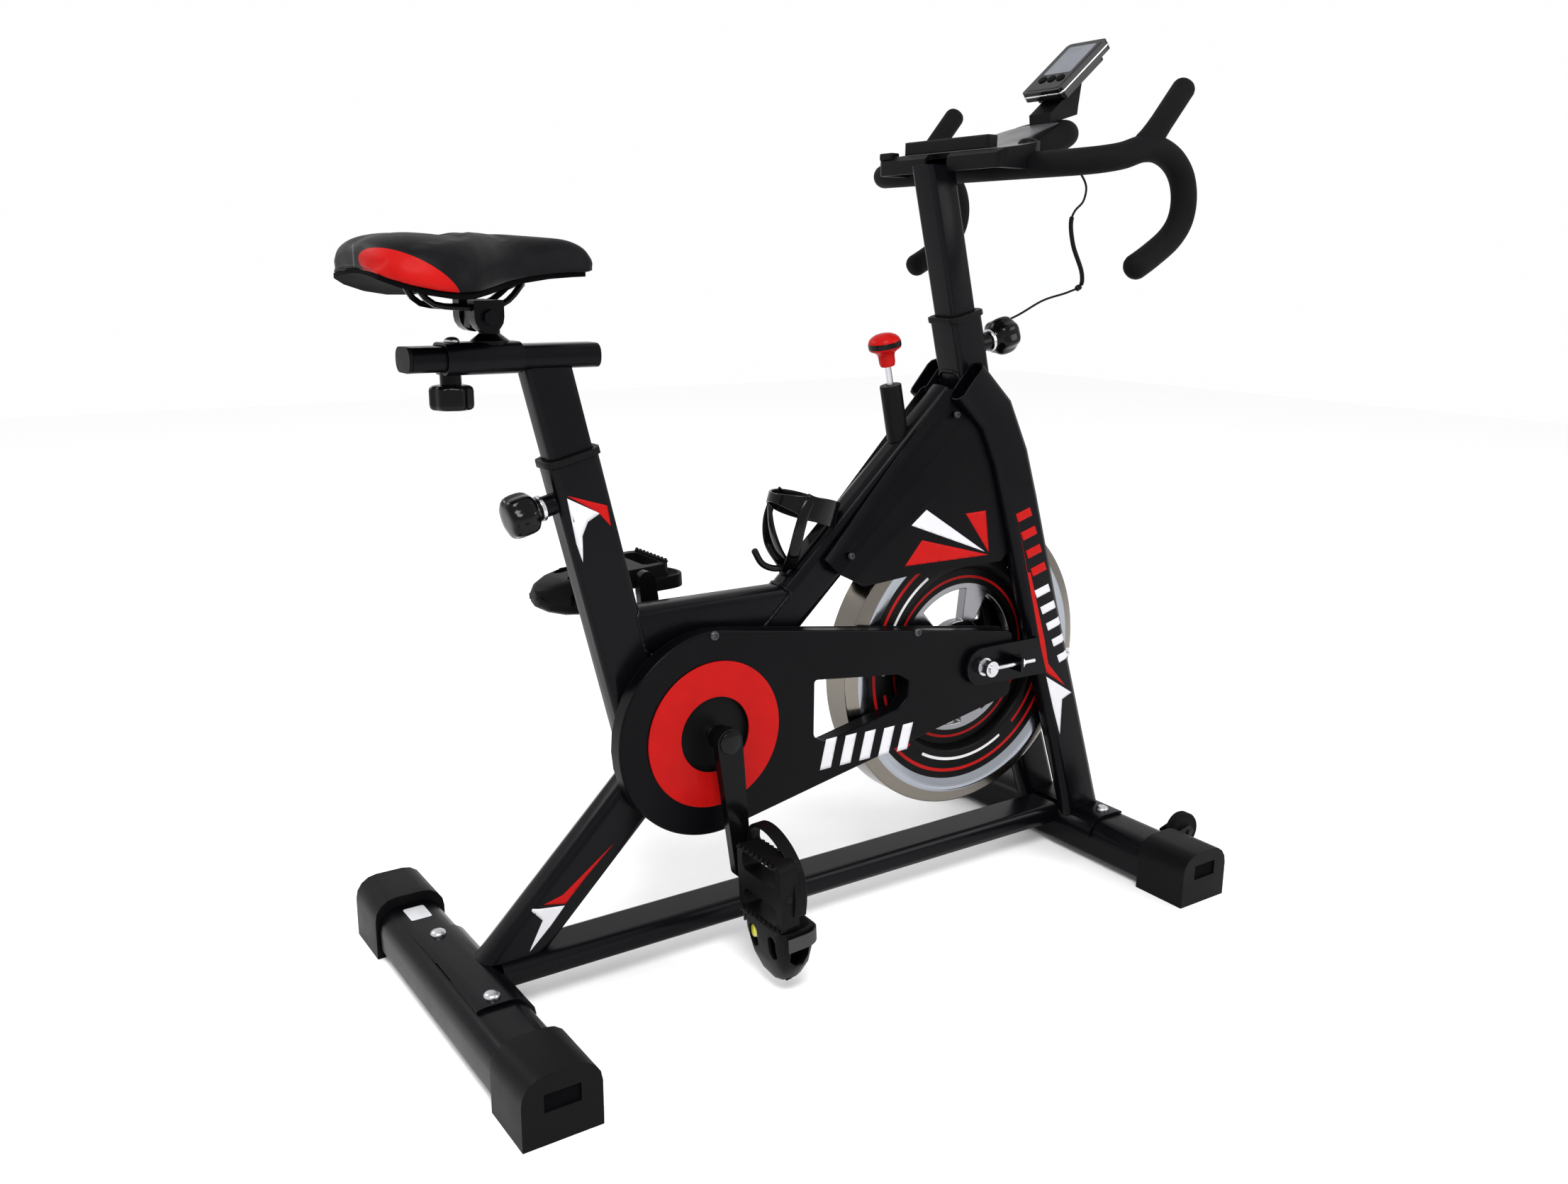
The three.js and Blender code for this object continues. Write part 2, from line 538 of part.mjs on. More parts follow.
// ---------------------------------------------------------------- crank set
add("crank_spindle", pinY(CRANK.x, CRANK.z, spindleRadius, -74, 74, 24), STEEL());
const bigPulleyProfile = [
  [spindleRadius + GAP, -47], [92, -46], [92, BELT.outer + 0.5], [BELT.bigRadius, BELT.outer + 0.5],
  [BELT.bigRadius, BELT.inner + 0.5], [92, BELT.inner + 0.5], [92, -41], [22, -40], [22, -35],
  [spindleRadius + GAP, -35], [spindleRadius + GAP, -47],
];
add("crank_pulley", onAxleY(bigPulleyProfile, 32, CRANK.x, CRANK.z), BLACK_PLASTIC());

const crankAngle = THREE.MathUtils.degToRad(-83.4);
const eye = { x: CRANK.arm * Math.cos(crankAngle), z: CRANK.arm * Math.sin(crankAngle) };
/** A tapered crank arm with the pedal's spindle screwed into its eye; `side` is -1 for the right. */
function crankArm(side) {
  const [near, far] = [CRANK.outboard - CRANK.thickness / 2, CRANK.outboard + CRANK.thickness / 2];
  const shape = new THREE.Shape();
  shape.absarc(0, 0, 17, Math.PI / 2, 1.5 * Math.PI);
  shape.absarc(CRANK.arm, 0, 11.5, -Math.PI / 2, Math.PI / 2);
  const arm = alongY(shape, near, far, 8);
  const hub = pinY(0, 0, 15, near - 14, near + 1, 24);
  const pedalPin = pinY(CRANK.arm, 0, 5, far - 2, far + 98, 16);
  const spindleHole = pinY(0, 0, spindleRadius + GAP, near - 20, 74 + GAP, 24);
  const angle = -THREE.MathUtils.radToDeg(side < 0 ? crankAngle : crankAngle + Math.PI);
  const posed = arm.add(hub).subtract(spindleHole).add(pedalPin).rotate([0, angle, 0]);
  return moved(side < 0 ? mirroredY(posed) : posed, CRANK.x, 0, CRANK.z);
}
add("crank_arm_right", crankArm(-1), GLOSS_PLASTIC());
add("crank_arm_left", crankArm(1), GLOSS_PLASTIC());

// ---------------------------------------------------------------- pedals with toe cages
const PEDAL = { inner: 6, width: 92, halfLength: 44, thickness: 24, cageReach: 78, cageHeight: 50 };
/** A pedal body: side rails and a centre barrel; X is the toe's way, Y outboard, Z the foot's side. */
function pedalBody() {
  const { inner, width, halfLength, thickness } = PEDAL;
  const outline = roundedShape(2 * halfLength, width, 12);
  const gap = boreShape(24, width - 22, 5);
  const slab = moved(extruded(outline, thickness), 0, inner + width / 2, -thickness / 2);
  const windows = [-1, 1].map((side) => moved(extruded(gap, 60), side * 24, inner + width / 2, -30));
  const body = slab.subtract(windows[0]).subtract(windows[1]);
  return body.subtract(pinY(0, 0, 5.4, -10, 200, 16));
}
/** A toe cage: a basket that closes round the front of the shoe, open at the back. */
function toeCage() {
  const { inner, width, halfLength, thickness, cageReach, cageHeight } = PEDAL;
  const middle = inner + width / 2;
  const start = halfLength + GAP;
  const ring = (x, halfWidth, low, high) => {
    const corner = Math.min(14, halfWidth - 1);
    return roundedShape(2 * halfWidth, high - low, corner).extractPoints(1).shape
      .map((p) => [x, middle + p.x, (low + high) / 2 + p.y]);
  };
  const stations = [[0, 45, 0], [25, 44, 1], [50, 38, 4], [68, 28, 9], [cageReach, 16, 15]];
  const shell = (inset, from, reach) => lofted(stations.map(([x, halfWidth, rise]) => {
    const along = from + x * reach;
    return ring(along, halfWidth - inset, -thickness / 2 + rise + inset, cageHeight - 12 - rise - inset);
  }));
  const outer = shell(0, start, 1);
  const hollow = shell(3, start - 2, 0.96);
  const sideWindow = moved(extruded(boreShape(34, 26, 8), 240), 0, 0, -120).rotate([90, 0, 0]);
  const soleWindow = moved(extruded(boreShape(30, 16, 5), 60), 0, 0, -30);
  return outer.subtract(hollow)
    .subtract(moved(sideWindow, start + 30, middle, 14))
    .subtract(moved(soleWindow, start + 26, middle - 20, -10))
    .subtract(moved(soleWindow, start + 26, middle + 20, -10));
}
const pedalFace = CRANK.outboard + CRANK.thickness / 2;
/** Places a pedal piece: the toe of the right pedal hangs down, that of the left one points back. The cage
 * is mirrored on the right, so that its foot side faces forwards. */
function pedalGroup(side) {
  const group = new THREE.Group();
  const [x, y, z] = side < 0
    ? [new THREE.Vector3(0.06, 0, -0.998), new THREE.Vector3(0, -1, 0), new THREE.Vector3(-0.998, 0, -0.06)]
    : [new THREE.Vector3(-0.998, 0, -0.06), new THREE.Vector3(0, 1, 0), new THREE.Vector3(0.06, 0, -0.998)];
  const basis = new THREE.Matrix4().makeBasis(x, y, z);
  group.setRotationFromMatrix(basis);
  group.position.set(CRANK.x - side * eye.x, side * pedalFace, CRANK.z - side * eye.z);
  group.updateMatrixWorld();
  bike.add(group);
  return group;
}
for (const [name, side] of [["right", -1], ["left", 1]]) {
  const group = pedalGroup(side);
  add(`pedal_${name}`, pedalBody(), BLACK_PLASTIC(), group);
  add(`toe_cage_${name}`, side < 0 ? toeCage().mirror([0, 0, 1]) : toeCage(), BLACK_PLASTIC(), group);
}

// ---------------------------------------------------------------- belt and belt cover
/** The angle at which the tangent from `point` touches a circle. */
function tangentTo(centre, radius, point, upper) {
  const [dx, dz] = [point[0] - centre[0], point[1] - centre[1]];
  const turn = Math.acos(radius / Math.hypot(dx, dz));
  return Math.atan2(dz, dx) + (upper ? turn : -turn);
}
const crankAxis = [CRANK.x, CRANK.z];
const flywheelAxis = [AXLE.x, AXLE.z];

/** Two circles joined by their outer tangents. */
function beltShape(big, small) {
  const [dx, dz] = [AXLE.x - CRANK.x, AXLE.z - CRANK.z];
  const along = Math.atan2(dz, dx);
  const turn = Math.acos((big - small) / Math.hypot(dx, dz));
  const shape = new THREE.Shape();
  shape.absarc(...crankAxis, big, along + turn, along - turn + 2 * Math.PI);
  shape.absarc(...flywheelAxis, small, along - turn, along + turn);
  return shape;
}
const beltAt = (height) => beltShape(BELT.bigRadius + height, BELT.smallRadius + height);
const beltLoop = beltAt(BELT.play + BELT.thickness);
beltLoop.holes.push(beltAt(BELT.play));
add("drive_belt", alongY(beltLoop, BELT.outer + 1, BELT.inner, 10), RUBBER());

/** The side outline of the belt cover, drawn in by `inset`. */
function coverShape(inset) {
  const { radius, frontX, frontTop, frontBottom } = COVER;
  const r = radius - inset;
  const [x, top, bottom] = [frontX - inset, frontTop - inset, frontBottom + inset];
  const shape = new THREE.Shape();
  const upper = tangentTo(crankAxis, r, [x, top], true);
  const lower = tangentTo(crankAxis, r, [x, bottom], false);
  shape.absarc(...crankAxis, r, upper, lower + 2 * Math.PI);
  const corner = 12;
  shape.lineTo(x - corner, bottom - 0.4 * corner * 0.35);
  shape.quadraticCurveTo(x, bottom, x, bottom + corner);
  shape.lineTo(x, top - corner);
  shape.quadraticCurveTo(x, top, x - corner, top + 0.17 * corner);
  return shape;
}
/** The triangular window through the cover, between the two runs of the belt, grown by `grow`. */
function windowShape(grow) {
  const corners = [[-33, 342], [100, 327], [118, 316], [116, 294], [102, 281], [-16, 257], [-33, 268]];
  const [cx, cz] = [35, 300];
  return polygon(corners.map(([x, z]) => [x + Math.sign(x - cx) * grow, z + Math.sign(z - cz) * grow]));
}
const screwHoles = [[-178, 421], [129, 380]];
function beltCover() {
  const { face, back, wall } = COVER;
  const shell = alongY(coverShape(0), face, back - 2 - GAP, 10);
  const hollow = alongY(coverShape(wall), face + wall, 0, 10);
  const tunnel = alongY(windowShape(wall), face, back - 2 - GAP);
  let cover = shell.subtract(hollow).add(tunnel).subtract(alongY(windowShape(0), -80, 0));
  cover = cover.subtract(pinY(...crankAxis, 46.5, -60, face + wall + 1, 28));
  cover = cover.subtract(pinY(...flywheelAxis, AXLE.radius + 1, -60, face + wall + 1));
  for (const [x, z] of screwHoles) cover = cover.subtract(pinY(x, z, 4, -60, face + wall + 1, 12));
  return cover;
}
add("belt_cover_outer", beltCover(), BLACK_PLASTIC());
const coverBack = alongY(coverShape(0), COVER.back - 2, COVER.back, 10)
  .subtract(alongY(windowShape(0), -80, 0))
  .subtract(pinY(...crankAxis, 28 + GAP, -60, 0, 24))
  .subtract(pinY(...flywheelAxis, 38, -60, 0, 32));
add("belt_cover_inner", coverBack, BLACK_PLASTIC());
add("cover_ring", pinY(...crankAxis, 90, COVER.face - 2.5, COVER.face - GAP, 32, 46.5), RED());

// ---------------------------------------------------------------- side shrouds
/** The bulged panel between the down tube and the right fork leg. */
function shroud() {
  const along = new THREE.Vector2(0.729, 0.6845);
  const across = new THREE.Vector2(0.6845, -0.729);
  const section = (s, points) => {
    const place = ([d, y]) => [-38 + s * along.x + d * across.x, -y, 434 + s * along.y + d * across.y];
    const inner = points.map(([d, y]) => [d, y - 2.5]).reverse();
    return [...points, ...inner].map(place);
  };
  const panel = lofted([
    section(20, [[-60, 22.8], [-22, 22.8], [-8, 33], [8, 38.5], [20, 41], [90, 42], [200, 42]]),
    section(380, [[-60, 22.8], [-36, 22.8], [-18, 33], [14, 40], [62, 43], [120, 44], [200, 44]]),
  ]);
  const outline = polygon([
    [184, 686], [-4, 487], [12, 468], [49, 449], [130, 455], [300, 456], [300, 600], [262, 648], [205, 690],
  ]);
  let body = panel.intersect(alongY(outline, -60, -10));
  for (const [x, z] of [[191, 657], [26, 491]]) body = body.subtract(pinY(x, z, 3.6, -60, 0, 12));
  return largest(body.subtract(legClearance).subtract(headEnvelope));
}
const legClearance = mirroredY(swept(legShape(GAP), legPath(), LEG_STEPS));
const shroudRight = shroud();
add("shroud_right", shroudRight, BLACK_PLASTIC());
add("shroud_left", mirroredY(shroudRight), BLACK_PLASTIC());

// ---------------------------------------------------------------- brake
const brakeSleeve = inWorld(rod(14, -30, 55, 18, 5), brakeGroup).subtract(downTubeEnvelope);
add("brake_sleeve", largest(fromWorld(brakeSleeve, brakeGroup)), BLACK_PAINT(), brakeGroup);
const padTop = -124;
const padPlate = rod(13, padTop, padTop + 4, 20);
add("brake_rod", rod(BRAKE.rodRadius, padTop, 82, 16).add(padPlate), STEEL(), brakeGroup);
const padBlock = block([-18, -16, -150], [18, 16, padTop - GAP]);
const rimClearance = fromWorld(pinY(...flywheelAxis, FLYWHEEL.radius + 4, -40, 40, 96), brakeGroup);
add("brake_pad", largest(padBlock.subtract(rimClearance)), RUBBER(), brakeGroup);
add("brake_knob", turned([
  [BRAKE.rodRadius + GAP, 79], [9, 79], [10.5, 84], [10.5, 94], [17, 99], [20.5, 102], [21, 106],
  [20.5, 110], [17, 116], [10, 120], [0, 121], [0, 82 + GAP], [BRAKE.rodRadius + GAP, 82 + GAP],
  [BRAKE.rodRadius + GAP, 79],
], 20), RED(), brakeGroup);

// ---------------------------------------------------------------- bottle cage, on top of the down tube
const cageGroup = new THREE.Group();
cageGroup.setRotationFromMatrix(new THREE.Matrix4().makeBasis(
  new THREE.Vector3(0.729, 0, 0.6845),
  new THREE.Vector3(0, 1, 0),
  new THREE.Vector3(-0.6845, 0, 0.729),
));
cageGroup.position.set(-58.5, 0, 455.9);
cageGroup.updateMatrixWorld();
bike.add(cageGroup);
function bottleCage() {
  const spine = block([16, -9, GAP], [124, 9, 4.5]);
  const ringPoints = Array.from({ length: 24 }, (_, i) => {
    const angle = (2 * Math.PI * i) / 24;
    const out = 43 + 40 * Math.cos(angle);
    return new THREE.Vector3(118 - out * 0.55, 38 * Math.sin(angle), out);
  });
  const band = polygon([[-6, -1.8], [6, -1.8], [6, 1.8], [-6, 1.8]]);
  const ring = swept(band, new THREE.CatmullRomCurve3(ringPoints, true), 26, 0);
  const curve = (points) => new THREE.CatmullRomCurve3(points.map((p) => new THREE.Vector3(...p)));
  const arm = swept(roundShape(3.4, 6), curve([[84, 28, 72], [58, 34, 60], [34, 26, 34], [26, 6, 4]]), 8);
  const hook = swept(roundShape(4.2, 6), curve([[40, 0, 4], [18, 0, 12], [6, 0, 34], [10, 0, 58]]), 8);
  const belowSpine = block([-50, -60, -60], [200, 60, GAP]);
  return spine.add(ring).add(arm).add(mirroredY(arm)).add(hook).subtract(belowSpine);
}
add("bottle_cage", largest(bottleCage()), GLOSS_PLASTIC(), cageGroup);

// ---------------------------------------------------------------- knobs
/** A lobed hand knob about Z, standing on a short neck. */
function handKnob(radius, height, neckRadius, neck, lobes) {
  const outline = Array.from({ length: lobes * 4 }, (_, i) => {
    const angle = (2 * Math.PI * i) / (lobes * 4);
    const r = radius * (1 - 0.09 * (1 - Math.cos(lobes * angle)));
    return [r * Math.cos(angle), r * Math.sin(angle)];
  });
  const cap = new THREE.ExtrudeGeometry(polygon(outline), {
    depth: height - 8, bevelThickness: 4, bevelSize: 4, bevelOffset: -4, bevelSegments: 1,
  });
  return moved(solid(cap), 0, 0, neck + 4).add(rod(neckRadius, 0, neck + 1, 24));
}
/** A knob, its neck and its clamping screw on a mast, pointing along local X towards `direction`. */
function mastKnob(direction, z, bossEnd, tip) {
  const knob = handKnob(25, 36, 13, 6, 7).rotate([0, 90 * direction, 0]);
  const screw = rod(4.6, 0, Math.abs(bossEnd - tip) + 1, 16).rotate([0, 90 * direction, 0]);
  return moved(knob, bossEnd + direction * GAP, 0, z).add(moved(screw, tip, 0, z));
}
const seatKnobStart = seatBossAt - 14;
add("seat_post_knob", mastKnob(-1, seatScrewZ, seatKnobStart, -SEAT_POST.width / 2 - 0.5),
  GLOSS_PLASTIC(), seatMast);
const headKnobStart = headBossAt + 23;
add("handlebar_post_knob", mastKnob(1, headScrewZ, headKnobStart, BAR_POST.width / 2 + 0.5),
  GLOSS_PLASTIC(), headMast);

// ---------------------------------------------------------------- seat post, beam and sliding sleeve
const beamMid = BEAM.bottom + BEAM.height / 2;
function beamShape(grow) {
  return roundedShape(BEAM.width + 2 * grow, BEAM.height + 2 * grow, 11 + grow);
}
const alongBeam = (shape, x0, x1) => moved(alongX(shape, x0, x1, 2), 0, 0, beamMid);
const beamEnvelope = alongBeam(beamShape(GAP), -600, -200);
const postBlank = boxTube(
  SEAT_POST.width, SEAT_POST.depth, SEAT_POST.radius, SEAT_POST.wall, -SEAT_POST.inserted, 130,
);
const beamRoom = beamEnvelope.add(block([-600, -60, beamMid], [-200, 60, 900]));
add("seat_post", largest(postBlank.subtract(fromWorld(beamRoom, seatMast))), BLACK_PAINT(), seatMast);
const beamTube = beamShape(0);
beamTube.holes.push(beamShape(-BEAM.wall));
const beamFront = alongBeam(beamShape(0), BEAM.front - 1, BEAM.front + 3);
add("seat_beam", alongBeam(beamTube, BEAM.rear - 36, BEAM.front).add(beamFront), BLACK_PAINT());
function beamPlug(x, direction) {
  const [a, b] = [x + direction * GAP, x + direction * 4].sort((m, n) => m - n);
  const [c, d] = [x - direction * 16, x + direction * 1].sort((m, n) => m - n);
  return alongBeam(beamShape(0), a, b).add(alongBeam(beamShape(-BEAM.wall - GAP), c, d));
}
add("beam_plug", beamPlug(BEAM.rear - 36, -1), BLACK_PLASTIC());

// The sleeve rides on the beam and carries the saddle on a short stub.
const SLEEVE = { rear: -471, front: -389, wall: 3, stubX: -417, stubRadius: 11, stubTop: 803 };
function sleeve() {
  const sleeveTop = beamMid + BEAM.height / 2 + 0.5 + SLEEVE.wall;
  const skin = alongBeam(beamShape(0.5 + SLEEVE.wall), SLEEVE.rear, SLEEVE.front);
  const stub = turned([
    [0, sleeveTop - 3], [20, sleeveTop - 3], [20, sleeveTop + 1], [SLEEVE.stubRadius, sleeveTop + 8],
    [SLEEVE.stubRadius, SLEEVE.stubTop], [0, SLEEVE.stubTop],
  ], 16);
  const lug = block(
    [SADDLE.pivotX - 13, -8, SADDLE.pivotZ - 11], [SLEEVE.stubX + 2, 8, SADDLE.pivotZ + 11],
  );
  const nut = moved(rod(11, -12, 2), SLEEVE.rear + 10, 0, beamMid - BEAM.height / 2 - 1);
  const screwBore = moved(rod(4.4, -80, 0, 16), SLEEVE.rear + 10, 0, beamMid);
  return skin.add(moved(stub, SLEEVE.stubX, 0, 0)).add(lug).add(nut)
    .subtract(alongBeam(beamShape(0.5), -600, -200))
    .subtract(screwBore)
    .subtract(pinY(SADDLE.pivotX, SADDLE.pivotZ, 4.4, -20, 20, 16));
}
add("saddle_sleeve", sleeve(), BLACK_PAINT());
const sleeveKnob = handKnob(23, 24, 9, 6, 7).rotate([180, 0, 0]);
const knobTop = beamMid - BEAM.height / 2 - 13 - GAP;
const sliderKnob = sleeveKnob.add(rod(4, -1, 12, 16));
add("slider_knob", moved(sliderKnob, SLEEVE.rear + 10, 0, knobTop), GLOSS_PLASTIC());

// ---------------------------------------------------------------- saddle
const railSide = [
  [-500, 16, 822], [-493, 19, 810], [-484, 21, 801], [-462, 22, 797], [-428, 22, 797],
  [-412, 22, 799], [-400, 20, 806], [-388, 15, 817], [-382, 7, 820],
];
const railPath = new THREE.CatmullRomCurve3([
  ...railSide, ...railSide.map(([x, y, z]) => [x, -y, z]).reverse(),
].map((p) => new THREE.Vector3(...p)));
const rails = swept(roundShape(3.5, 6), railPath, 30);
const railClearance = swept(roundShape(4, 6), railPath, 30);

// Each station of the saddle: [x, half width, top height, rim height, underside rise].
const stations = [
  [-559, 48, 853, 838, 2], [-552, 74, 863, 829, 6], [-538, 92, 869, 822, 9], [-515, 102, 873, 815, 12],
  [-490, 104, 872, 811, 14], [-466, 96, 870, 811, 13], [-442, 76, 869, 815, 10],
  [-418, 54, 868, 820, 7], [-390, 37, 868, 825, 4], [-358, 27, 867, 829, 3], [-330, 22, 865, 831, 2],
  [-312, 18, 858, 832, 1], [-300, 11, 846, 833, 1],
];
const underside = ([, half, , rim, rise], y) => rim + rise * Math.cos((Math.PI * y) / (2 * half));
function saddleRing(station) {
  const [x, half, top, rim] = station;
  const upper = Array.from({ length: 15 }, (_, i) => {
    const angle = (Math.PI * i) / 14;
    const y = half * Math.sign(Math.cos(angle)) * Math.abs(Math.cos(angle)) ** 0.75;
    return [x, y, rim + (top - rim) * Math.sin(angle) ** 0.75];
  });
  const lower = Array.from({ length: 9 }, (_, i) => {
    const y = half * (-0.8 + i * 0.2);
    return [x, y, underside(station, y)];
  });
  return [...upper, ...lower];
}
function baseRing(station, i) {
  const inset = i === 0 || i === stations.length - 1 ? 2 : 5;
  const reach = station[1] - inset;
  const ys = Array.from({ length: 9 }, (_, k) => reach * (-1 + k * 0.25));
  const lower = ys.map((y) => [station[0], y, underside(station, y) - GAP - 5]);
  const upper = ys.map((y) => [station[0], y, underside(station, y) - GAP]).reverse();
  return [...upper, ...lower];
}
add("saddle_pad", lofted(stations.map(saddleRing)), RUBBER());
const saddleBase = lofted(stations.slice(1, -1).map(baseRing)).subtract(railClearance);
add("saddle_base", largest(saddleBase), BLACK_PLASTIC());
add("saddle_rails", rails, STEEL());
function saddleClamp() {
  const inner = SLEEVE.stubRadius + 1;
  const cheek = pinY(SADDLE.pivotX, SADDLE.pivotZ, 16, inner, 30)
    .add(block([SADDLE.pivotX - 16, inner, SADDLE.pivotZ], [SADDLE.pivotX + 16, 30, SADDLE.pivotZ + 17]));
  const bolt = pinY(SADDLE.pivotX, SADDLE.pivotZ, 4, -34, 34, 16);
  const head = pinY(SADDLE.pivotX, SADDLE.pivotZ, 8, 29, 36, 6);
  const both = cheek.add(head);
  return both.add(mirroredY(both)).add(bolt).subtract(railClearance);
}
add("saddle_clamp", saddleClamp(), BLACK_PAINT());

// ---------------------------------------------------------------- handlebar
const barPath = new THREE.CatmullRomCurve3([
  [309, 206, 837], [345, 206, 856], [378, 206, 878], [393, 206, 898], [397, 206, 922],
  [390, 206, 947], [372, 206, 966], [345, 206, 977], [318, 206, 977], [285, 206, 968],
  [258, 200, 963], [240, 182, 960.5], [235, 160, 960], [235, 100, 960], [235, 40, 960],
].map((p) => new THREE.Vector3(...p)));
const wholeBar = new THREE.CatmullRomCurve3([
  ...barPath.points.map((p) => p.clone().setY(-p.y)),
  ...[...barPath.points].reverse(),
]);
const hornAxis = new THREE.LineCurve3(new THREE.Vector3(318, 206, 974), new THREE.Vector3(388, 206, 1056));
const horn = swept(roundShape(13.5, 8), hornAxis, 1);
const loopPath = new THREE.CatmullRomCurve3([
  [236, 45, 961], [280, 45, 975], [330, 45, 995], [356, 42, 1006], [369, 26, 1011], [373, 0, 1012],
  [369, -26, 1011], [356, -42, 1006], [330, -45, 995], [280, -45, 975], [236, -45, 961],
].map((p) => new THREE.Vector3(...p)));
const barPostAxis = (grow, z0, z1) => {
  const width = BAR_POST.width + 2 * grow;
  const wall = grow > 0 ? 0 : BAR_POST.wall;
  return inWorld(boxTube(width, width, BAR_POST.radius + grow, wall, z0, z1), headMast);
};
const bars = (grow) => swept(roundShape(BAR.radius + grow, 8), wholeBar, 50)
  .add(swept(roundShape(BAR.loopRadius + grow, 8), loopPath, 14));
add("handlebar", bars(0).add(horn).add(mirroredY(horn)), RUBBER());
const barClearance = bars(GAP);

// The handlebar post ends under the cross bar, which sits in a welded saddle bracket.
const postCut = barClearance.add(block([100, -60, 962], [400, 60, 1100]));
add("handlebar_post",
  largest(fromWorld(barPostAxis(0, -BAR_POST.inserted, 200).subtract(postCut), headMast)),
  BLACK_PAINT(), headMast);

function trayBody() {
  const side = polygon([
    [176, 955], [176, 972], [182, 977], [214, 982], [262, 992], [330, 1015], [354, 1022.1],
    [362, 1021], [362, 1011], [356, 1006], [330, 993], [262, 968], [250, 955],
  ]);
  const plan = polygon([
    [176, -108], [179, -115], [187, -118], [230, -118], [243, -113], [256, -92], [270, -66],
    [298, -52], [340, -43], [355, -36], [362, -24], [362, 24], [355, 36], [340, 43], [298, 52],
    [270, 66], [256, 92], [243, 113], [230, 118], [187, 118], [179, 115], [176, 108],
  ]);
  const planks = moved(extruded(plan, 200), 0, 0, 900);
  const hollow = alongY(polygon([[180, 940], [180, 970], [216, 977.5], [240, 982], [242, 940]]), -106, 106);
  const lip = block([190, -78, 976], [206, 78, 995]);
  return alongY(side, -130, 130).intersect(planks).subtract(hollow).add(lip)
    .subtract(barClearance)
    .subtract(barPostAxis(2 * GAP, -50, 260))
    .subtract(moved(rod(CABLE.radius + GAP, 980, 1006, 12), CABLE.exit[0], CABLE.exit[1], 0));
}
add("tablet_tray", largest(trayBody()), BLACK_PLASTIC());

// ---------------------------------------------------------------- console
const consoleGroup = new THREE.Group();
consoleGroup.position.set(388.5, 0, 1096);
consoleGroup.rotation.y = -THREE.MathUtils.degToRad(40);
consoleGroup.updateMatrixWorld();
bike.add(consoleGroup);
const CONSOLE = { length: 108, width: 70, thickness: 13, depth: 22 };
const consoleCase = extruded(roundedShape(CONSOLE.length, CONSOLE.width, 7), CONSOLE.thickness, 4);
const consoleBack = extruded(roundedShape(88, 52, 6), CONSOLE.depth - CONSOLE.thickness + 1, 2);
const consoleBody = moved(consoleCase, 0, 0, -CONSOLE.thickness)
  .add(moved(consoleBack, 0, 0, -CONSOLE.depth));
const stemSide = polygon([[348, 1040], [351, 1018], [398, 1029], [400, 1048], [406, 1090], [360, 1068]]);
const trayTop = alongY(polygon([
  [176, 940], [182, 977 + GAP], [262, 992 + GAP], [330, 1015 + GAP], [384, 1031 + GAP],
  [420, 1042], [420, 940],
]), -60, 60);
const aboveUnderside = moved(extruded(roundedShape(140, 120, 5), 60), 0, 0, -CONSOLE.depth - GAP);
const stemRoom = trayTop.add(barClearance).add(inWorld(aboveUnderside, consoleGroup));
add("console", consoleBody, GLOSS_PLASTIC(), consoleGroup);
add("console_stem", largest(alongY(stemSide, -19, 19).subtract(stemRoom)), BLACK_PLASTIC());

// ---------------------------------------------------------------- sensor cable, from the tray to the head tube
const cablePath = new THREE.CatmullRomCurve3([
  [CABLE.exit[0], CABLE.exit[1], 1004], [CABLE.exit[0], CABLE.exit[1], 996], [350, -17, 989],
  [360, -19, 986.5], [374, -20, 985], [390, -20, 978], [406, -20, 966], [423, -19, 946],
  [421, -17, 927], [411, -13, 915], [412, -6, 903], [428, 4, 872], [453, 8, 832], [455, 11, 817],
  [436, 15, 808], [396, 22, 797], [356, 27, 778], [320, 30, 764], [290, 32, 748], [270, 34, 735],
  [255, 35, 724], [248, 33.5, 717.5], [244.8, 30.5, 714.6], [244.4, 27, 714.4], [244.4, 22.9, 714.4],
].map((p) => new THREE.Vector3(...p)));
add("sensor_cable", swept(roundShape(CABLE.radius, 6), cablePath, 66), RUBBER());

export default bike;
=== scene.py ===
"""The looks of an indoor spin bike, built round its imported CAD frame.

+X is the front of the bike, +Y the rider's left, +Z up; the floor is z = 0. Lengths are in metres,
and `mm` turns the CAD's millimetres into them.
"""
import math

import bmesh
import bpy
from mathutils import Matrix, Vector
from mathutils.bvhtree import BVHTree


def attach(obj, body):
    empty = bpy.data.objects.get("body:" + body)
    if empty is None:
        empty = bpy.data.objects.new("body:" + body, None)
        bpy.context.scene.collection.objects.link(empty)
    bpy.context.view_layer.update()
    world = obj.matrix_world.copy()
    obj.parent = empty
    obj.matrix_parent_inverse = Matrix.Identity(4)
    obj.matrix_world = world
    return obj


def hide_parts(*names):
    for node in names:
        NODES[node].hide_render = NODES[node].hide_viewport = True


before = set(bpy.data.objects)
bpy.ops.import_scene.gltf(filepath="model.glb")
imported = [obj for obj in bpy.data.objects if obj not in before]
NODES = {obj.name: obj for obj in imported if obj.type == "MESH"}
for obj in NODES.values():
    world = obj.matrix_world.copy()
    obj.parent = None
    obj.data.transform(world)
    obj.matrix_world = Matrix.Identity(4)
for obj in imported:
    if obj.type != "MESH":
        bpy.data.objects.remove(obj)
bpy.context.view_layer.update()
MAST_TILT = math.radians(14)
CRANK = (-0.178, 0.300)
AXLE = (0.240, 0.318)
SIDES = (("right", -1), ("left", 1))


def mm(*values):
    """A point given in millimetres, as a vector in metres."""
    return Vector([v / 1000 for v in values])


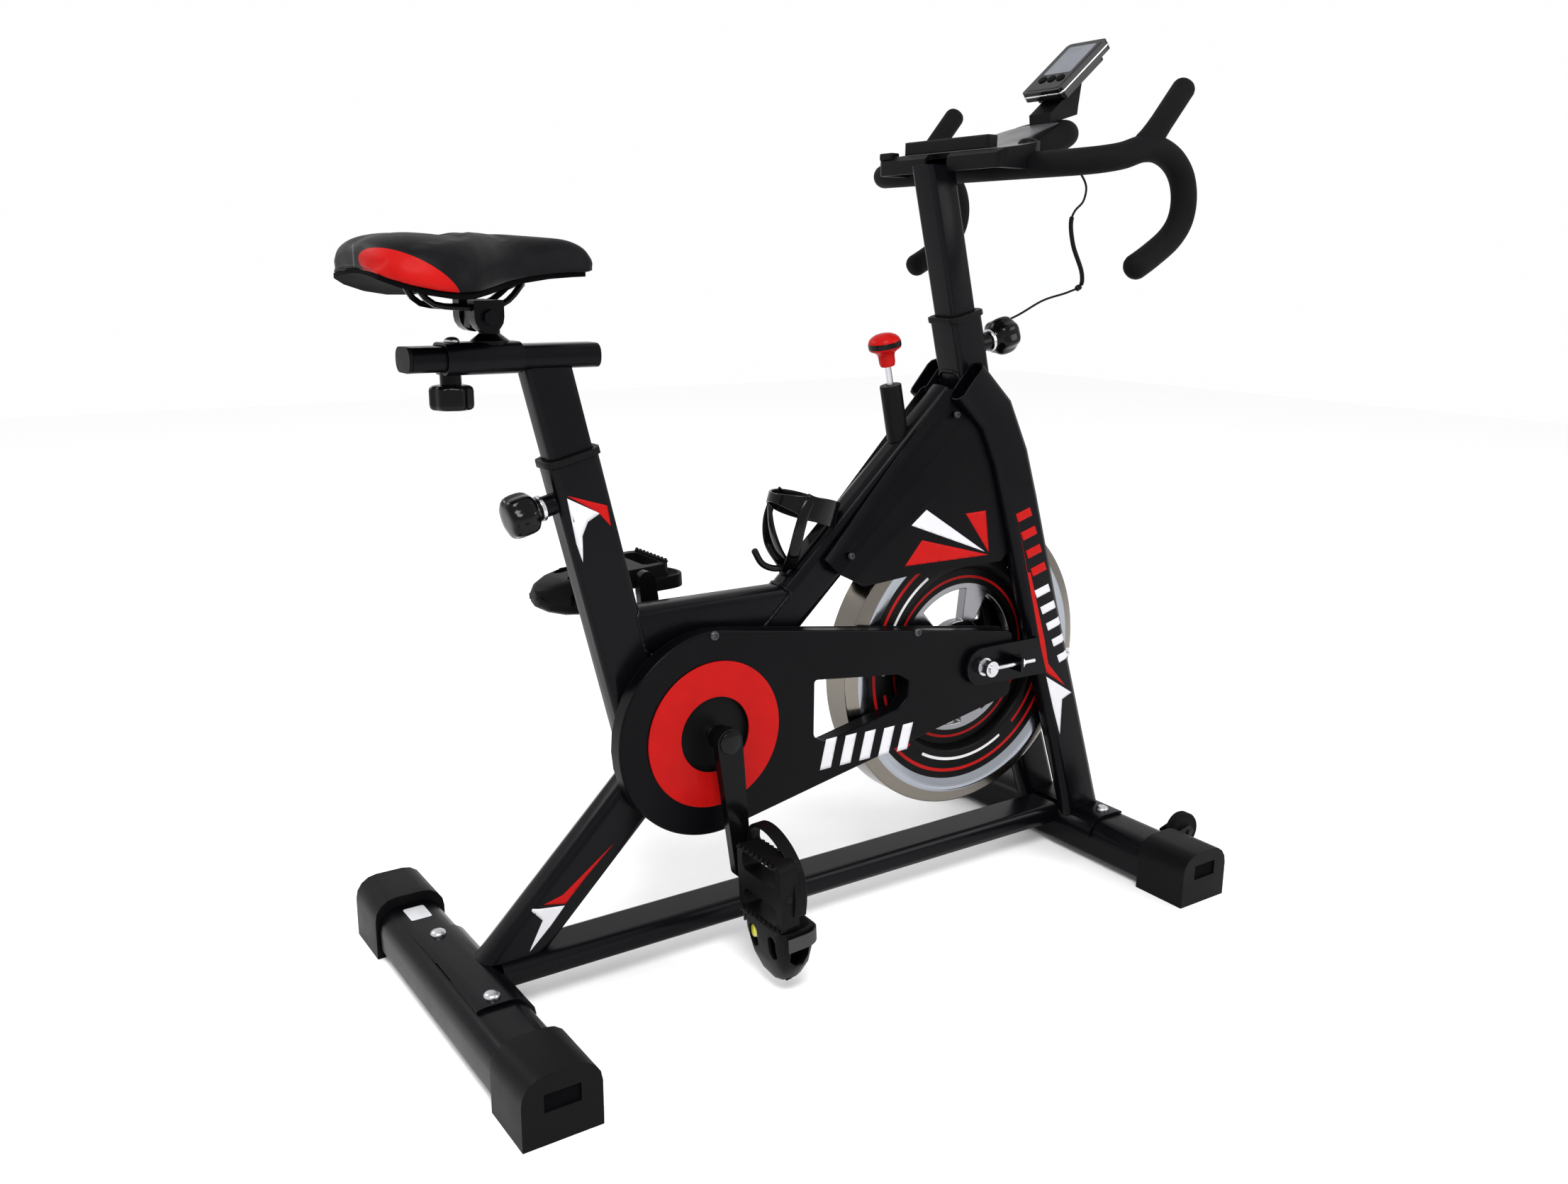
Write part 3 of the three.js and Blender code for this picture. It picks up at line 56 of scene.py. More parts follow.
# ---------------------------------------------------------------- camera, light and floor
def make_camera():
    """A camera on the bike's right rear quarter, level with the saddle, rolled by half a degree."""
    azimuth, elevation, roll = (math.radians(a) for a in (-34.0966, 13.7416, 0.507))
    flat = math.cos(elevation)
    forward = Vector((-math.sin(azimuth) * flat, math.cos(azimuth) * flat, -math.sin(elevation)))
    level = forward.cross(Vector((0, 0, 1))).normalized()
    upright = level.cross(forward)
    right = level * math.cos(roll) + upright * math.sin(roll)
    up = right.cross(forward)
    data = bpy.data.cameras.new("camera")
    data.lens, data.sensor_width = 30.667, 36
    data.clip_start, data.clip_end = 0.05, 50
    camera = bpy.data.objects.new("camera", data)
    bpy.context.scene.collection.objects.link(camera)
    rotation = Matrix((right, up, -forward)).transposed().to_4x4()
    camera.matrix_world = Matrix.Translation((-0.9511, -1.3375, 0.8406)) @ rotation
    bpy.context.scene.camera = camera


def area_light(name, place, target, size, power, colour=(1, 1, 1)):
    data = bpy.data.lights.new(name, "AREA")
    data.shape, data.size, data.size_y = "RECTANGLE", size[0], size[1]
    data.energy, data.color = power, colour
    light = bpy.data.objects.new(name, data)
    bpy.context.scene.collection.objects.link(light)
    light.location = place
    light.rotation_euler = (Vector(target) - Vector(place)).to_track_quat("-Z", "Y").to_euler()


def make_stage():
    """A pale floor, a pale surround and three large soft lights."""
    world = bpy.data.worlds.new("studio")
    bpy.context.scene.world = world
    world.use_nodes = True
    background = world.node_tree.nodes["Background"]
    background.inputs["Color"].default_value = (0.985, 0.985, 0.99, 1)
    background.inputs["Strength"].default_value = 0.85
    area_light("key", (-1.2, -1.9, 2.9), (0, 0, 0.5), (1.2, 1.2), 82)
    area_light("fill", (2.0, -2.0, 1.7), (0, 0, 0.5), (0.9, 1.6), 22)
    area_light("back", (-1.9, 2.2, 2.5), (0, 0, 0.6), (1.2, 0.8), 22)
    bpy.ops.mesh.primitive_plane_add(size=14)
    floor = bpy.context.object
    floor.name = "floor"
    floor.data.materials.append(surface("floor_paper", (0.95, 0.95, 0.955), 0.9, grain=60, bump=0.0,
                                        mottle=0.01, variation=0.01))
    bpy.context.scene.view_settings.view_transform = "Standard"
    bpy.context.scene.view_settings.exposure = 0.25


# ---------------------------------------------------------------- materials
class Shader:
    """A Principled material with short calls for its nodes."""

    def __init__(self, name):
        self.material = bpy.data.materials.new(name)
        self.material.use_nodes = True
        self.nodes, self.links = self.material.node_tree.nodes, self.material.node_tree.links
        self.shader = self.nodes["Principled BSDF"]
        self.place = self.add("ShaderNodeTexCoord").outputs["Object"]

    def add(self, kind, **values):
        node = self.nodes.new(kind)
        for key, value in values.items():
            setattr(node, key, value)
        return node

    def link(self, source, target):
        self.links.new(source, target)

    def noise(self, scale, detail=2.0):
        node = self.add("ShaderNodeTexNoise")
        node.inputs["Scale"].default_value, node.inputs["Detail"].default_value = scale, detail
        self.link(self.place, node.inputs["Vector"])
        return node.outputs["Fac"]

    def spread(self, source, low, high, start=0.3, end=0.7):
        node = self.add("ShaderNodeMapRange")
        for key, value in {"From Min": start, "From Max": end, "To Min": low, "To Max": high}.items():
            node.inputs[key].default_value = value
        self.link(source, node.inputs["Value"])
        return node.outputs["Result"]

    def math(self, operation, a, b=None, c=None):
        node = self.add("ShaderNodeMath", operation=operation)
        for socket, value in zip(node.inputs, (a, b, c)):
            if isinstance(value, (int, float)):
                socket.default_value = value
            elif value is not None:
                self.link(value, socket)
        return node.outputs[0]

    def mix(self, factor, a, b):
        node = self.add("ShaderNodeMix", data_type="RGBA")
        for socket, value in ((node.inputs[0], factor), (node.inputs[6], a), (node.inputs[7], b)):
            if isinstance(value, tuple):
                socket.default_value = (*value, 1)
            elif isinstance(value, (int, float)):
                socket.default_value = value
            else:
                self.link(value, socket)
        return node.outputs[2]

    def bump(self, height, strength, distance=0.0003):
        node = self.add("ShaderNodeBump")
        node.inputs["Strength"].default_value, node.inputs["Distance"].default_value = strength, distance
        self.link(height, node.inputs["Height"])
        self.link(node.outputs["Normal"], self.shader.inputs["Normal"])

    def set(self, **values):
        for key, value in values.items():
            self.shader.inputs[key.replace("_", " ")].default_value = value


def surface(name, colour, roughness, metallic=0.0, grain=1200, bump=0.12, mottle=0.06, variation=0.12,
            wear=0.0, coat=0.0, cells=False, specular=0.5):
    """A finish with fine grain in its relief, slow changes of gloss and tone, and a little wear on edges."""
    s = Shader(name)
    s.set(Metallic=metallic, Specular_IOR_Level=specular)
    if coat:
        s.set(Coat_Weight=coat, Coat_Roughness=0.08)
    s.link(s.spread(s.noise(14, 3), roughness - mottle, roughness + mottle), s.shader.inputs["Roughness"])
    darker = tuple(c * (1 - variation) for c in colour)
    lighter = tuple(min(1, c * (1 + variation)) for c in colour)
    tone = s.mix(s.spread(s.noise(35, 4), 0, 1), darker, lighter)
    if wear:
        edge = s.spread(s.add("ShaderNodeNewGeometry").outputs["Pointiness"], 0, wear, 0.53, 0.62)
        tone = s.mix(edge, tone, tuple(min(1, c * 2.5 + 0.012) for c in colour))
    s.link(tone, s.shader.inputs["Base Color"])
    if cells:
        pattern = s.add("ShaderNodeTexVoronoi", feature="DISTANCE_TO_EDGE")
        pattern.inputs["Scale"].default_value = grain
        s.link(s.place, pattern.inputs["Vector"])
        height = s.spread(pattern.outputs["Distance"], 0, 1, 0.0, 0.25)
    else:
        height = s.noise(grain, 2)
    s.bump(height, bump)
    return s.material


def wheel_print():
    """The flywheel: polished rim with a painted reflection of a brown room on its outer band, black disc with
    printed rings, grey web.
    """
    s = Shader("flywheel_print_and_painted_reflection")
    split = s.add("ShaderNodeSeparateXYZ")
    s.link(s.place, split.inputs[0])
    dx = s.math("SUBTRACT", split.outputs["X"], AXLE[0])
    dz = s.math("SUBTRACT", split.outputs["Z"], AXLE[1])
    radius = s.math("SQRT", s.math("ADD", s.math("MULTIPLY", dx, dx), s.math("MULTIPLY", dz, dz)))
    angle = s.math("ARCTAN2", dz, dx)

    def ring(inner, outer):
        return s.math("MULTIPLY", s.math("GREATER_THAN", radius, inner), s.math("LESS_THAN", radius, outer))

    web_edge, rim_edge, tan_reflection_start = 0.104, 0.169, 0.187
    wave = s.math("SINE", s.math("MULTIPLY", angle, 3))
    white_arcs = s.math("GREATER_THAN", wave, 0.0)
    red_arcs = s.math("LESS_THAN", wave, -0.55)
    dashes = ring(0.1395, 0.1435)
    black, red, white = (0.0022, 0.0022, 0.0026), (0.29, 0.005, 0.005), (0.50, 0.50, 0.51)
    tone = s.mix(s.math("GREATER_THAN", radius, rim_edge), black, (0.27, 0.285, 0.315))
    # Outer band of the rim: a tan tint on the chrome, a painted reflection of a brown room.
    tone = s.mix(s.math("GREATER_THAN", radius, tan_reflection_start), tone, (0.165, 0.150, 0.129))
    tone = s.mix(ring(0.1555, 0.160), tone, red)
    tone = s.mix(s.math("MULTIPLY", dashes, white_arcs), tone, white)
    tone = s.mix(s.math("MULTIPLY", dashes, red_arcs), tone, red)
    tone = s.mix(ring(0.1115, 0.115), tone, red)
    tone = s.mix(s.math("LESS_THAN", radius, web_edge), tone, (0.20, 0.20, 0.21))
    s.set(Specular_IOR_Level=0.07)
    s.link(tone, s.shader.inputs["Base Color"])
    metal = s.math("MAXIMUM", s.math("GREATER_THAN", radius, rim_edge), s.math("LESS_THAN", radius, web_edge))
    s.link(metal, s.shader.inputs["Metallic"])
    turning = s.add("ShaderNodeCombineXYZ")
    s.link(s.math("MULTIPLY", radius, 1500), turning.inputs["X"])
    s.link(s.math("MULTIPLY", angle, 1.5), turning.inputs["Y"])
    lathe = s.add("ShaderNodeTexNoise")
    lathe.inputs["Scale"].default_value = 1.0
    s.link(turning.outputs[0], lathe.inputs["Vector"])
    rough = s.spread(lathe.outputs["Fac"], 0.10, 0.24)
    paint = s.spread(s.noise(40, 3), 0.30, 0.42)
    gloss = s.add("ShaderNodeMix", data_type="FLOAT")
    for socket, source in zip(gloss.inputs[:4], (metal, None, paint, rough)):
        if source is not None:
            s.link(source, socket)
    s.link(gloss.outputs[0], s.shader.inputs["Roughness"])
    s.bump(lathe.outputs["Fac"], 0.05)
    return s.material


PANEL_CENTRE, PANEL_HALF_LENGTH = -0.4745, 0.0475
PANEL_HEIGHT, PANEL_HALF_HEIGHT, PANEL_LEAN = 0.8260, 0.0225, 0.38
LEFT_PANEL_SHIFT = 0.022
PIPING_PLACE, PIPING_HALF_WIDTH = -0.5245, 0.0007


def saddle_finish():
    """Black synthetic leather, piped at the back, with a stitched red panel on each wing.

    The left panel sits a little further forward than the right one.
    """
    s = Shader("saddle_leather")
    split = s.add("ShaderNodeSeparateXYZ")
    s.link(s.place, split.inputs[0])
    wing = s.math("ABSOLUTE", split.outputs["Y"])
    around = s.math("ADD", s.math("MULTIPLY", split.outputs["X"], 0.95), s.math("MULTIPLY", wing, 0.30))
    left = s.math("GREATER_THAN", split.outputs["Y"], 0)
    around = s.math("SUBTRACT", around, s.math("MULTIPLY", left, LEFT_PANEL_SHIFT))
    from_centre = s.math("ADD", around, -PANEL_CENTRE)
    along = s.math("MULTIPLY", from_centre, 1 / PANEL_HALF_LENGTH)
    lean = s.math("MULTIPLY", from_centre, PANEL_LEAN)
    height = s.math("ADD", s.math("SUBTRACT", split.outputs["Z"], PANEL_HEIGHT), lean)
    rise = s.math("MULTIPLY", height, 1 / PANEL_HALF_HEIGHT)
    distance = s.math("SQRT", s.math("ADD", s.math("MULTIPLY", along, along), s.math("MULTIPLY", rise, rise)))
    panel = s.math("LESS_THAN", distance, 1.0)
    piping = s.math("COMPARE", around, PIPING_PLACE, PIPING_HALF_WIDTH)
    seam = s.math("MAXIMUM", s.math("COMPARE", distance, 1.0, 0.05), piping)
    mottled = s.spread(s.noise(30, 4), 0, 1)
    black = s.mix(mottled, (0.0026, 0.0026, 0.0031), (0.0046, 0.0046, 0.0055))
    red = s.mix(mottled, (0.31, 0.004, 0.0035), (0.34, 0.006, 0.005))
    tone = s.mix(panel, black, red)
    tone = s.mix(seam, tone, (0.004, 0.004, 0.005))
    s.link(s.mix(piping, tone, (0.05, 0.05, 0.055)), s.shader.inputs["Base Color"])
    s.set(Specular_IOR_Level=0.05)
    s.link(s.spread(s.noise(18, 3), 0.36, 0.50), s.shader.inputs["Roughness"])
    grain = s.add("ShaderNodeTexVoronoi", feature="DISTANCE_TO_EDGE")
    grain.inputs["Scale"].default_value = 620
    s.link(s.place, grain.inputs["Vector"])
    relief = s.spread(grain.outputs["Distance"], 0, 1, 0.0, 0.3)
    s.bump(s.math("SUBTRACT", relief, s.math("MULTIPLY", seam, 6.0)), 0.22, 0.0003)
    return s.material


def make_materials():
    red = (0.31, 0.004, 0.0035)
    return {
        "paint": surface("satin_black_paint", (0.0012, 0.0012, 0.0019), 0.25, grain=700, bump=0.08, wear=0.25,
                         specular=0.080),
        "plastic": surface("black_moulded_plastic", (0.0026, 0.0026, 0.0030), 0.42, grain=1500, bump=0.2,
                           wear=0.15, specular=0.055),
        "shell": surface("black_cover_plastic", (0.0013, 0.0013, 0.0018), 0.33, grain=1800, bump=0.1,
                         wear=0.12, specular=0.060),
        "gloss": surface("gloss_black_plastic", (0.0016, 0.0016, 0.0019), 0.14, grain=90, bump=0.03,
                         mottle=0.04, specular=0.13),
        "crank": surface("gloss_black_enamel", (0.0018, 0.0018, 0.0021), 0.22, grain=200, bump=0.04, wear=0.3,
                         coat=0.03, specular=0.07),
        "foam": surface("black_foam", (0.0032, 0.0032, 0.0037), 0.66, grain=900, bump=0.4, mottle=0.08,
                        cells=True, specular=0.05),
        "rubber": surface("black_rubber", (0.0040, 0.0040, 0.0044), 0.7, grain=600, bump=0.25, specular=0.05),
        # Matte black for the saddle's underside; also the plates of painted shade in the foot caps' recesses.
        "shade": surface("saddle_shell_plastic_and_recess_shade", (0.0020, 0.0020, 0.0024), 0.6, grain=1500, bump=0.2,
                         specular=0.01),
        "cable": surface("cable_jacket", (0.0045, 0.0045, 0.005), 0.5, grain=900, bump=0.1, specular=0.06),
        "steel_black": surface("blackened_steel", (0.05, 0.05, 0.055), 0.35, 0.9, grain=600, bump=0.08),
        "steel": surface("zinc_plated_steel", (0.50, 0.50, 0.52), 0.28, 1.0, grain=500, bump=0.08,
                         variation=0.08),
        "red": surface("gloss_red_plastic", red, 0.32, grain=1300, bump=0.06, mottle=0.05, variation=0.06,
                       coat=0.02, specular=0.05),
        "red_print": surface("red_print", (0.33, 0.0045, 0.004), 0.38, grain=900, bump=0.05, variation=0.05,
                             specular=0.06),
        "white_print": surface("white_print", (0.50, 0.50, 0.52), 0.42, grain=900, bump=0.05, variation=0.03,
                               specular=0.2),
        "felt": surface("brake_felt", (0.10, 0.075, 0.05), 0.95, grain=900, bump=0.6),
        "yellow": surface("yellow_label", (0.62, 0.60, 0.05), 0.4, grain=600, bump=0.05),
        "silver": surface("silver_trim", (0.52, 0.52, 0.54), 0.22, 1.0, grain=300, bump=0.02, variation=0.04),
        "screen": surface("display_glass", (0.13, 0.135, 0.155), 0.2, grain=60, bump=0.01, mottle=0.02,
                          specular=0.08),
        # Lighter grey for the tray's upper skin: painted sheen of the overhead light on its top.
        "tray": surface("tray_top_sheen", (0.045, 0.045, 0.048), 0.34, grain=1300, bump=0.12, specular=0.25),
        "label": surface("silver_label", (0.62, 0.63, 0.65), 0.35, 0.4, grain=500, bump=0.05),
        "strap": surface("woven_strap", (0.015, 0.015, 0.016), 0.8, grain=1100, bump=0.7),
        "wheel": wheel_print(),
        "saddle": saddle_finish(),
    }


# ---------------------------------------------------------------- piece helpers
def piece(name, mesh, material, body, replaces=(), slot=None):
    """Links a mesh as a named piece with a finish, riding on a body."""
    obj = bpy.data.objects.new(name, mesh)
    bpy.context.scene.collection.objects.link(obj)
    mesh.materials.append(MATERIALS[material])
    for face in mesh.polygons:
        face.use_smooth = True
    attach(obj, body)
    if replaces:
        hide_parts(*replaces)
    return obj


def soften(obj, width=0.0008, angle=50, segments=2):
    """Rounds an object's sharp edges and keeps its flat faces flat."""
    weld = obj.modifiers.new("weld", "WELD")
    weld.merge_threshold = 0.00004
    bevel = obj.modifiers.new("bevel", "BEVEL")
    bevel.width, bevel.segments = width, segments
    bevel.limit_method, bevel.angle_limit = "ANGLE", math.radians(angle)
    bevel.use_clamp_overlap = True
    even_shading(obj)


def even_shading(obj):
    """Lets the large faces decide the shading along their edges."""
    normals = obj.modifiers.new("normals", "WEIGHTED_NORMAL")
    normals.weight, normals.keep_sharp = 80, True


def dress(names, material, width=0.0008, angle=50):
    """Gives CAD nodes their finish and softened edges."""
    for name in names:
        obj = NODES[name]
        obj.data.materials.clear()
        obj.data.materials.append(MATERIALS[material])
        for face in obj.data.polygons:
            face.use_smooth = True
            face.material_index = 0
        soften(obj, width, angle)


def mesh_of(name, vertices, faces):
    mesh = bpy.data.meshes.new(name)
    mesh.from_pydata([tuple(v) for v in vertices], [], faces)
    mesh.update()
    return mesh


def mesh_from(bm, name):
    """A new mesh holding what was built in `bm`."""
    mesh = bpy.data.meshes.new(name)
    bm.to_mesh(mesh)
    bm.free()
    return mesh


def weld_mesh(mesh):
    """Joins points that lie on each other and turns every face outwards."""
    bm = bmesh.new()
    bm.from_mesh(mesh)
    bmesh.ops.remove_doubles(bm, verts=bm.verts[:], dist=0.00001)
    bmesh.ops.recalc_face_normals(bm, faces=bm.faces[:])
    bm.to_mesh(mesh)
    bm.free()


def loft(name, rings, closed_ends=True):
    """A skin through rings of equal point count."""
    count = len(rings[0])
    vertices = [p for ring in rings for p in ring]
    faces = []
    for i in range(len(rings) - 1):
        for j in range(count):
            k = (j + 1) % count
            faces.append((i * count + j, i * count + k, (i + 1) * count + k, (i + 1) * count + j))
    if closed_ends:
        faces.append(tuple(reversed(range(count))))
        faces.append(tuple((len(rings) - 1) * count + j for j in range(count)))
    return mesh_of(name, vertices, faces)


def smooth_path(points, steps):
    """Points along a centripetal Catmull-Rom curve through `points`."""
    pts = [Vector(p) for p in points]
    pts = [pts[0] * 2 - pts[1], *pts, pts[-1] * 2 - pts[-2]]
    result = []
    for i in range(1, len(pts) - 2):
        p0, p1, p2, p3 = pts[i - 1:i + 3]
        t1 = (p1 - p0).length ** 0.5
        t2 = t1 + (p2 - p1).length ** 0.5
        t3 = t2 + (p3 - p2).length ** 0.5
        for k in range(steps):
            t = t1 + (t2 - t1) * k / steps
            a1 = p0 * ((t1 - t) / t1) + p1 * (t / t1)
            a2 = p1 * ((t2 - t) / (t2 - t1)) + p2 * ((t - t1) / (t2 - t1))
            a3 = p2 * ((t3 - t) / (t3 - t2)) + p3 * ((t - t2) / (t3 - t2))
            b1 = a1 * ((t2 - t) / t2) + a2 * (t / t2)
            b2 = a2 * ((t3 - t) / (t3 - t1)) + a3 * ((t - t1) / (t3 - t1))
            result.append(b1 * ((t2 - t) / (t2 - t1)) + b2 * ((t - t1) / (t2 - t1)))
    result.append(pts[-2])
    return result


def headings(points):
    """The unit direction of travel at each point of a path."""
    last = len(points) - 1
    return [(points[min(i + 1, last)] - points[max(i - 1, 0)]).normalized() for i in range(last + 1)]


def square_to(direction, ahead):
    """The unit vector closest to `direction` at right angles to `ahead`."""
    return (direction - ahead * direction.dot(ahead)).normalized()


def circle(radius, sides=24):
    return [(radius * math.cos(2 * math.pi * i / sides), radius * math.sin(2 * math.pi * i / sides))
            for i in range(sides)]


def tube(name, points, radius, material, body, steps=6, sides=24, **options):
    """A round tube along a smooth route, with softly rounded ends."""
    path = smooth_path(points, steps)
    rings = []
    up = Vector((0.03, 0.02, 1)).normalized()
    first, last = (path[0] - path[1]).normalized(), (path[-1] - path[-2]).normalized()
    ends = [(0.0, 0.14), (0.02, 0.36), (0.09, 0.58), (0.22, 0.78), (0.42, 0.92), (0.70, 1.0)]
    stations = [(path[0] - first * radius * d, s) for d, s in ends]
    stations += [(p, 1.0) for p in path[1:-1]
                 if (p - path[0]).length > radius and (p - path[-1]).length > radius]
    stations += [(path[-1] - last * radius * d, s) for d, s in reversed(ends)]
    across = None
    for (p, scale), ahead in zip(stations, headings([p for p, _ in stations])):
        across = up.cross(ahead).normalized() if across is None else square_to(across, ahead)
        over = ahead.cross(across)
        rings.append([p + (across * a + over * b) * scale for a, b in circle(radius, sides)])
    return piece(name, loft(name, rings), material, body, **options)


def lathe_mesh(name, profile, axis, origin, sides=64, lobes=0, depth=0.0):
    """A turned mesh: profile points are (radius, height along the axis); lobes scallop its outside."""
    axis = Vector(axis).normalized()
    across = axis.orthogonal().normalized()
    over = axis.cross(across)
    widest = max(r for r, _ in profile)
    rings = []
    for r, h in profile:
        ring = []
        for i in range(sides):
            angle = 2 * math.pi * i / sides
            outer = min(1, max(0, (r / widest - 0.6) / 0.4))
            cut = depth * (1 - math.cos(lobes * angle)) / 2 * outer if lobes else 0
            reach = r * (1 - cut)
            direction = across * math.cos(angle) + over * math.sin(angle)
            ring.append(Vector(origin) + axis * h + direction * reach)
        rings.append(ring)
    return loft(name, rings)


def turned(name, profile, axis, origin, material, body, sides=64, lobes=0, depth=0.0, **options):
    mesh = lathe_mesh(name, [(r / 1000, h / 1000) for r, h in profile], axis, origin, sides, lobes, depth)
    obj = piece(name, mesh, material, body, **options)
    soften(obj, 0.0004, 40)
    return obj


def surface_tree(name):
    """A search tree over a CAD node's faces."""
    data = NODES[name].data
    return BVHTree.FromPolygons([v.co.copy() for v in data.vertices],
                                [tuple(p.vertices) for p in data.polygons])


def decal(name, outline, node, material, side, lift=0.0004, cell=0.006):
    """A thin print laid on a node's right (-1) or left (1) face; the outline is (x, z) in millimetres."""
    tree = surface_tree(node)
    bm = bmesh.new()
    bm.faces.new([bm.verts.new((x / 1000, 0, z / 1000)) for x, z in outline])
    bm.normal_update()
    bmesh.ops.triangulate(bm, faces=bm.faces[:], ngon_method="EAR_CLIP")
    for _ in range(5):
        long_edges = [e for e in bm.edges if e.calc_length() > cell]
        if not long_edges:
            break
        bmesh.ops.subdivide_edges(bm, edges=long_edges, cuts=1)
        bmesh.ops.triangulate(bm, faces=bm.faces[:])
    for v in bm.verts:
        hit, _, _, _ = tree.ray_cast(Vector((v.co.x, side * 0.4, v.co.z)), Vector((0, -side, 0)))
        if hit is None:
            hit, _, _, _ = tree.find_nearest(Vector((v.co.x, side * 0.06, v.co.z)))
        v.co.y = hit.y + side * lift
    bmesh.ops.recalc_face_normals(bm, faces=bm.faces[:])
    if sum(f.normal.y * f.calc_area() for f in bm.faces) * side < 0:
        bmesh.ops.reverse_faces(bm, faces=bm.faces[:])
    obj = piece(name, mesh_from(bm, name), material, "frame")
    thick = obj.modifiers.new("film", "SOLIDIFY")
    thick.thickness, thick.offset = 0.00025, -1
    return obj


# ---------------------------------------------------------------- sensor cable
def make_cable():
    """The console's sensor cable, from the tray to the frame, with a sleeve on its middle stretch."""
    route = [mm(*p) for p in (
        (346, -16, 1004), (346, -16, 996), (350, -17, 989), (360, -19, 986.5), (374, -20, 985),
        (390, -20, 978),
        (406, -20, 966), (423, -19, 946), (421, -17, 927), (411, -13, 915), (412, -6, 903), (428, 4, 872),
        (453, 8, 832), (455, 11, 817), (436, 15, 808), (396, 22, 797), (356, 27, 778), (320, 30, 764),
        (290, 32, 748), (270, 34, 735), (255, 35, 724), (248, 33.5, 717.5), (244.8, 30.5, 714.6),
        (244.4, 27, 714.4), (244.4, 22.9, 714.4),
    )]
    path = smooth_path(route, 6)
    curve = bpy.data.curves.new("sensor_cable_lead", "CURVE")
    curve.dimensions, curve.bevel_depth, curve.bevel_resolution = "3D", 0.0015, 4
    spline = curve.splines.new("POLY")
    spline.points.add(len(path) - 1)
    for point, p in zip(spline.points, path):
        point.co = (*p, 1)
    curve.materials.append(MATERIALS["cable"])
    lead = bpy.data.objects.new("sensor_cable_lead", curve)
    bpy.context.scene.collection.objects.link(lead)
    sleeve = tube("cable_sleeve", path[58:79], 0.0031, "cable", "frame", steps=1, sides=12)
    tie = tube("cable_tie", path[78:82], 0.0042, "gloss", "frame", steps=1, sides=12)
    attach(lead, "frame")
    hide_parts("sensor_cable")


# ---------------------------------------------------------------- saddle
# Each station: x, half width, top height, rim height and rise of the underside, in millimetres.
SADDLE_STATIONS = [
    (-558, 46, 852, 838, 2), (-552, 72, 862, 829, 6), (-538, 91, 868.5, 822, 9), (-515, 101, 872, 815.5, 12),
    (-490, 103, 871.5, 811.5, 14), (-466, 95, 869.5, 811.5, 13), (-442, 75, 868.5, 815.5, 10),
    (-418, 53, 867.5, 820.5, 7), (-390, 36.5, 867.5, 825.5, 4), (-358, 26.5, 866.5, 829.5, 3),
    (-330, 21.5, 864.5, 831.5, 2), (-312, 17.5, 857.5, 832.5, 1), (-301, 10.5, 846, 833.5, 1),
]


def saddle_ring(station):
    x, half, top, rim, rise = station
    ring = []
    for i in range(41):
        angle = math.pi * i / 40
        y = half * math.copysign(abs(math.cos(angle)) ** 0.72, math.cos(angle))
        dip = 2.5 * math.exp(-(y / 12) ** 2) * min(1, max(0, half - 40) / 40)
        ring.append(mm(x, y, rim + (top - rim) * math.sin(angle) ** 0.72 - dip))
    for i in range(1, 16):
        y = half * (-1 + i / 8)
        ring.append(mm(x, y, rim + rise * math.cos(math.pi * y / (2 * half))))
    return ring


def make_saddle():
    """A foam saddle under a sewn cover, puffed by a short cloth simulation."""
    table = [Vector(s[:3]) for s in SADDLE_STATIONS]
    rest = [Vector((s[0], s[3], s[4])) for s in SADDLE_STATIONS]
    dense = [(*a, b[1], b[2]) for a, b in zip(smooth_path(table, 5), smooth_path(rest, 5))]
    mesh = loft("saddle_cover", [saddle_ring(s) for s in dense])
    saddle = piece("saddle_cover", mesh, "saddle", "saddle", replaces=["saddle_pad"], slot="saddle_cover")
    puff(saddle, pressure=3.5, cap=0.003, pinned=lambda co: co.z < 0.832)
    rounding = saddle.modifiers.new("rounding", "SUBSURF")
    rounding.levels = rounding.render_levels = 1
    dress(["saddle_base"], "shade", 0.001)
    dress(["saddle_rails"], "paint", 0.0002)
    dress(["saddle_clamp"], "paint", 0.001)


def puff(obj, pressure, cap, pinned):
    """Inflates a closed mesh with Cloth, caps how far a point may move, and applies the result."""
    scene = bpy.context.scene
    group = obj.vertex_groups.new(name="pinned")
    group.add([v.index for v in obj.data.vertices if pinned(v.co)], 1.0, "REPLACE")
    before = [v.co.copy() for v in obj.data.vertices]
    cloth = obj.modifiers.new("cloth", "CLOTH")
    cloth.settings.vertex_group_mass = "pinned"
    cloth.settings.use_pressure = True
    cloth.settings.uniform_pressure_force = pressure
    cloth.settings.effector_weights.gravity = 0
    cloth.settings.quality = 5
    scene.frame_start, scene.frame_end = 1, 20
    for step in range(1, 21):
        scene.frame_set(step)
    graph = bpy.context.evaluated_depsgraph_get()
    moved = [v.co.copy() for v in obj.evaluated_get(graph).data.vertices]
    obj.modifiers.remove(cloth)
    for v, old, new in zip(obj.data.vertices, before, moved):
        shift = new - old
        v.co = old + (shift if shift.length <= cap else shift.normalized() * cap)
    scene.frame_set(1)


# ---------------------------------------------------------------- local frames of the leaning groups
def local_frame(x, z, x_axis):
    """A frame in the X-Z plane: its X runs along `x_axis`, its Y is the bike's Y."""
    a = Vector((x_axis[0], 0, x_axis[1])).normalized()
    c = a.cross(Vector((0, 1, 0)))
    matrix = Matrix((a, (0, 1, 0), c)).transposed().to_4x4()
    return Matrix.Translation(mm(x, 0, z)) @ matrix


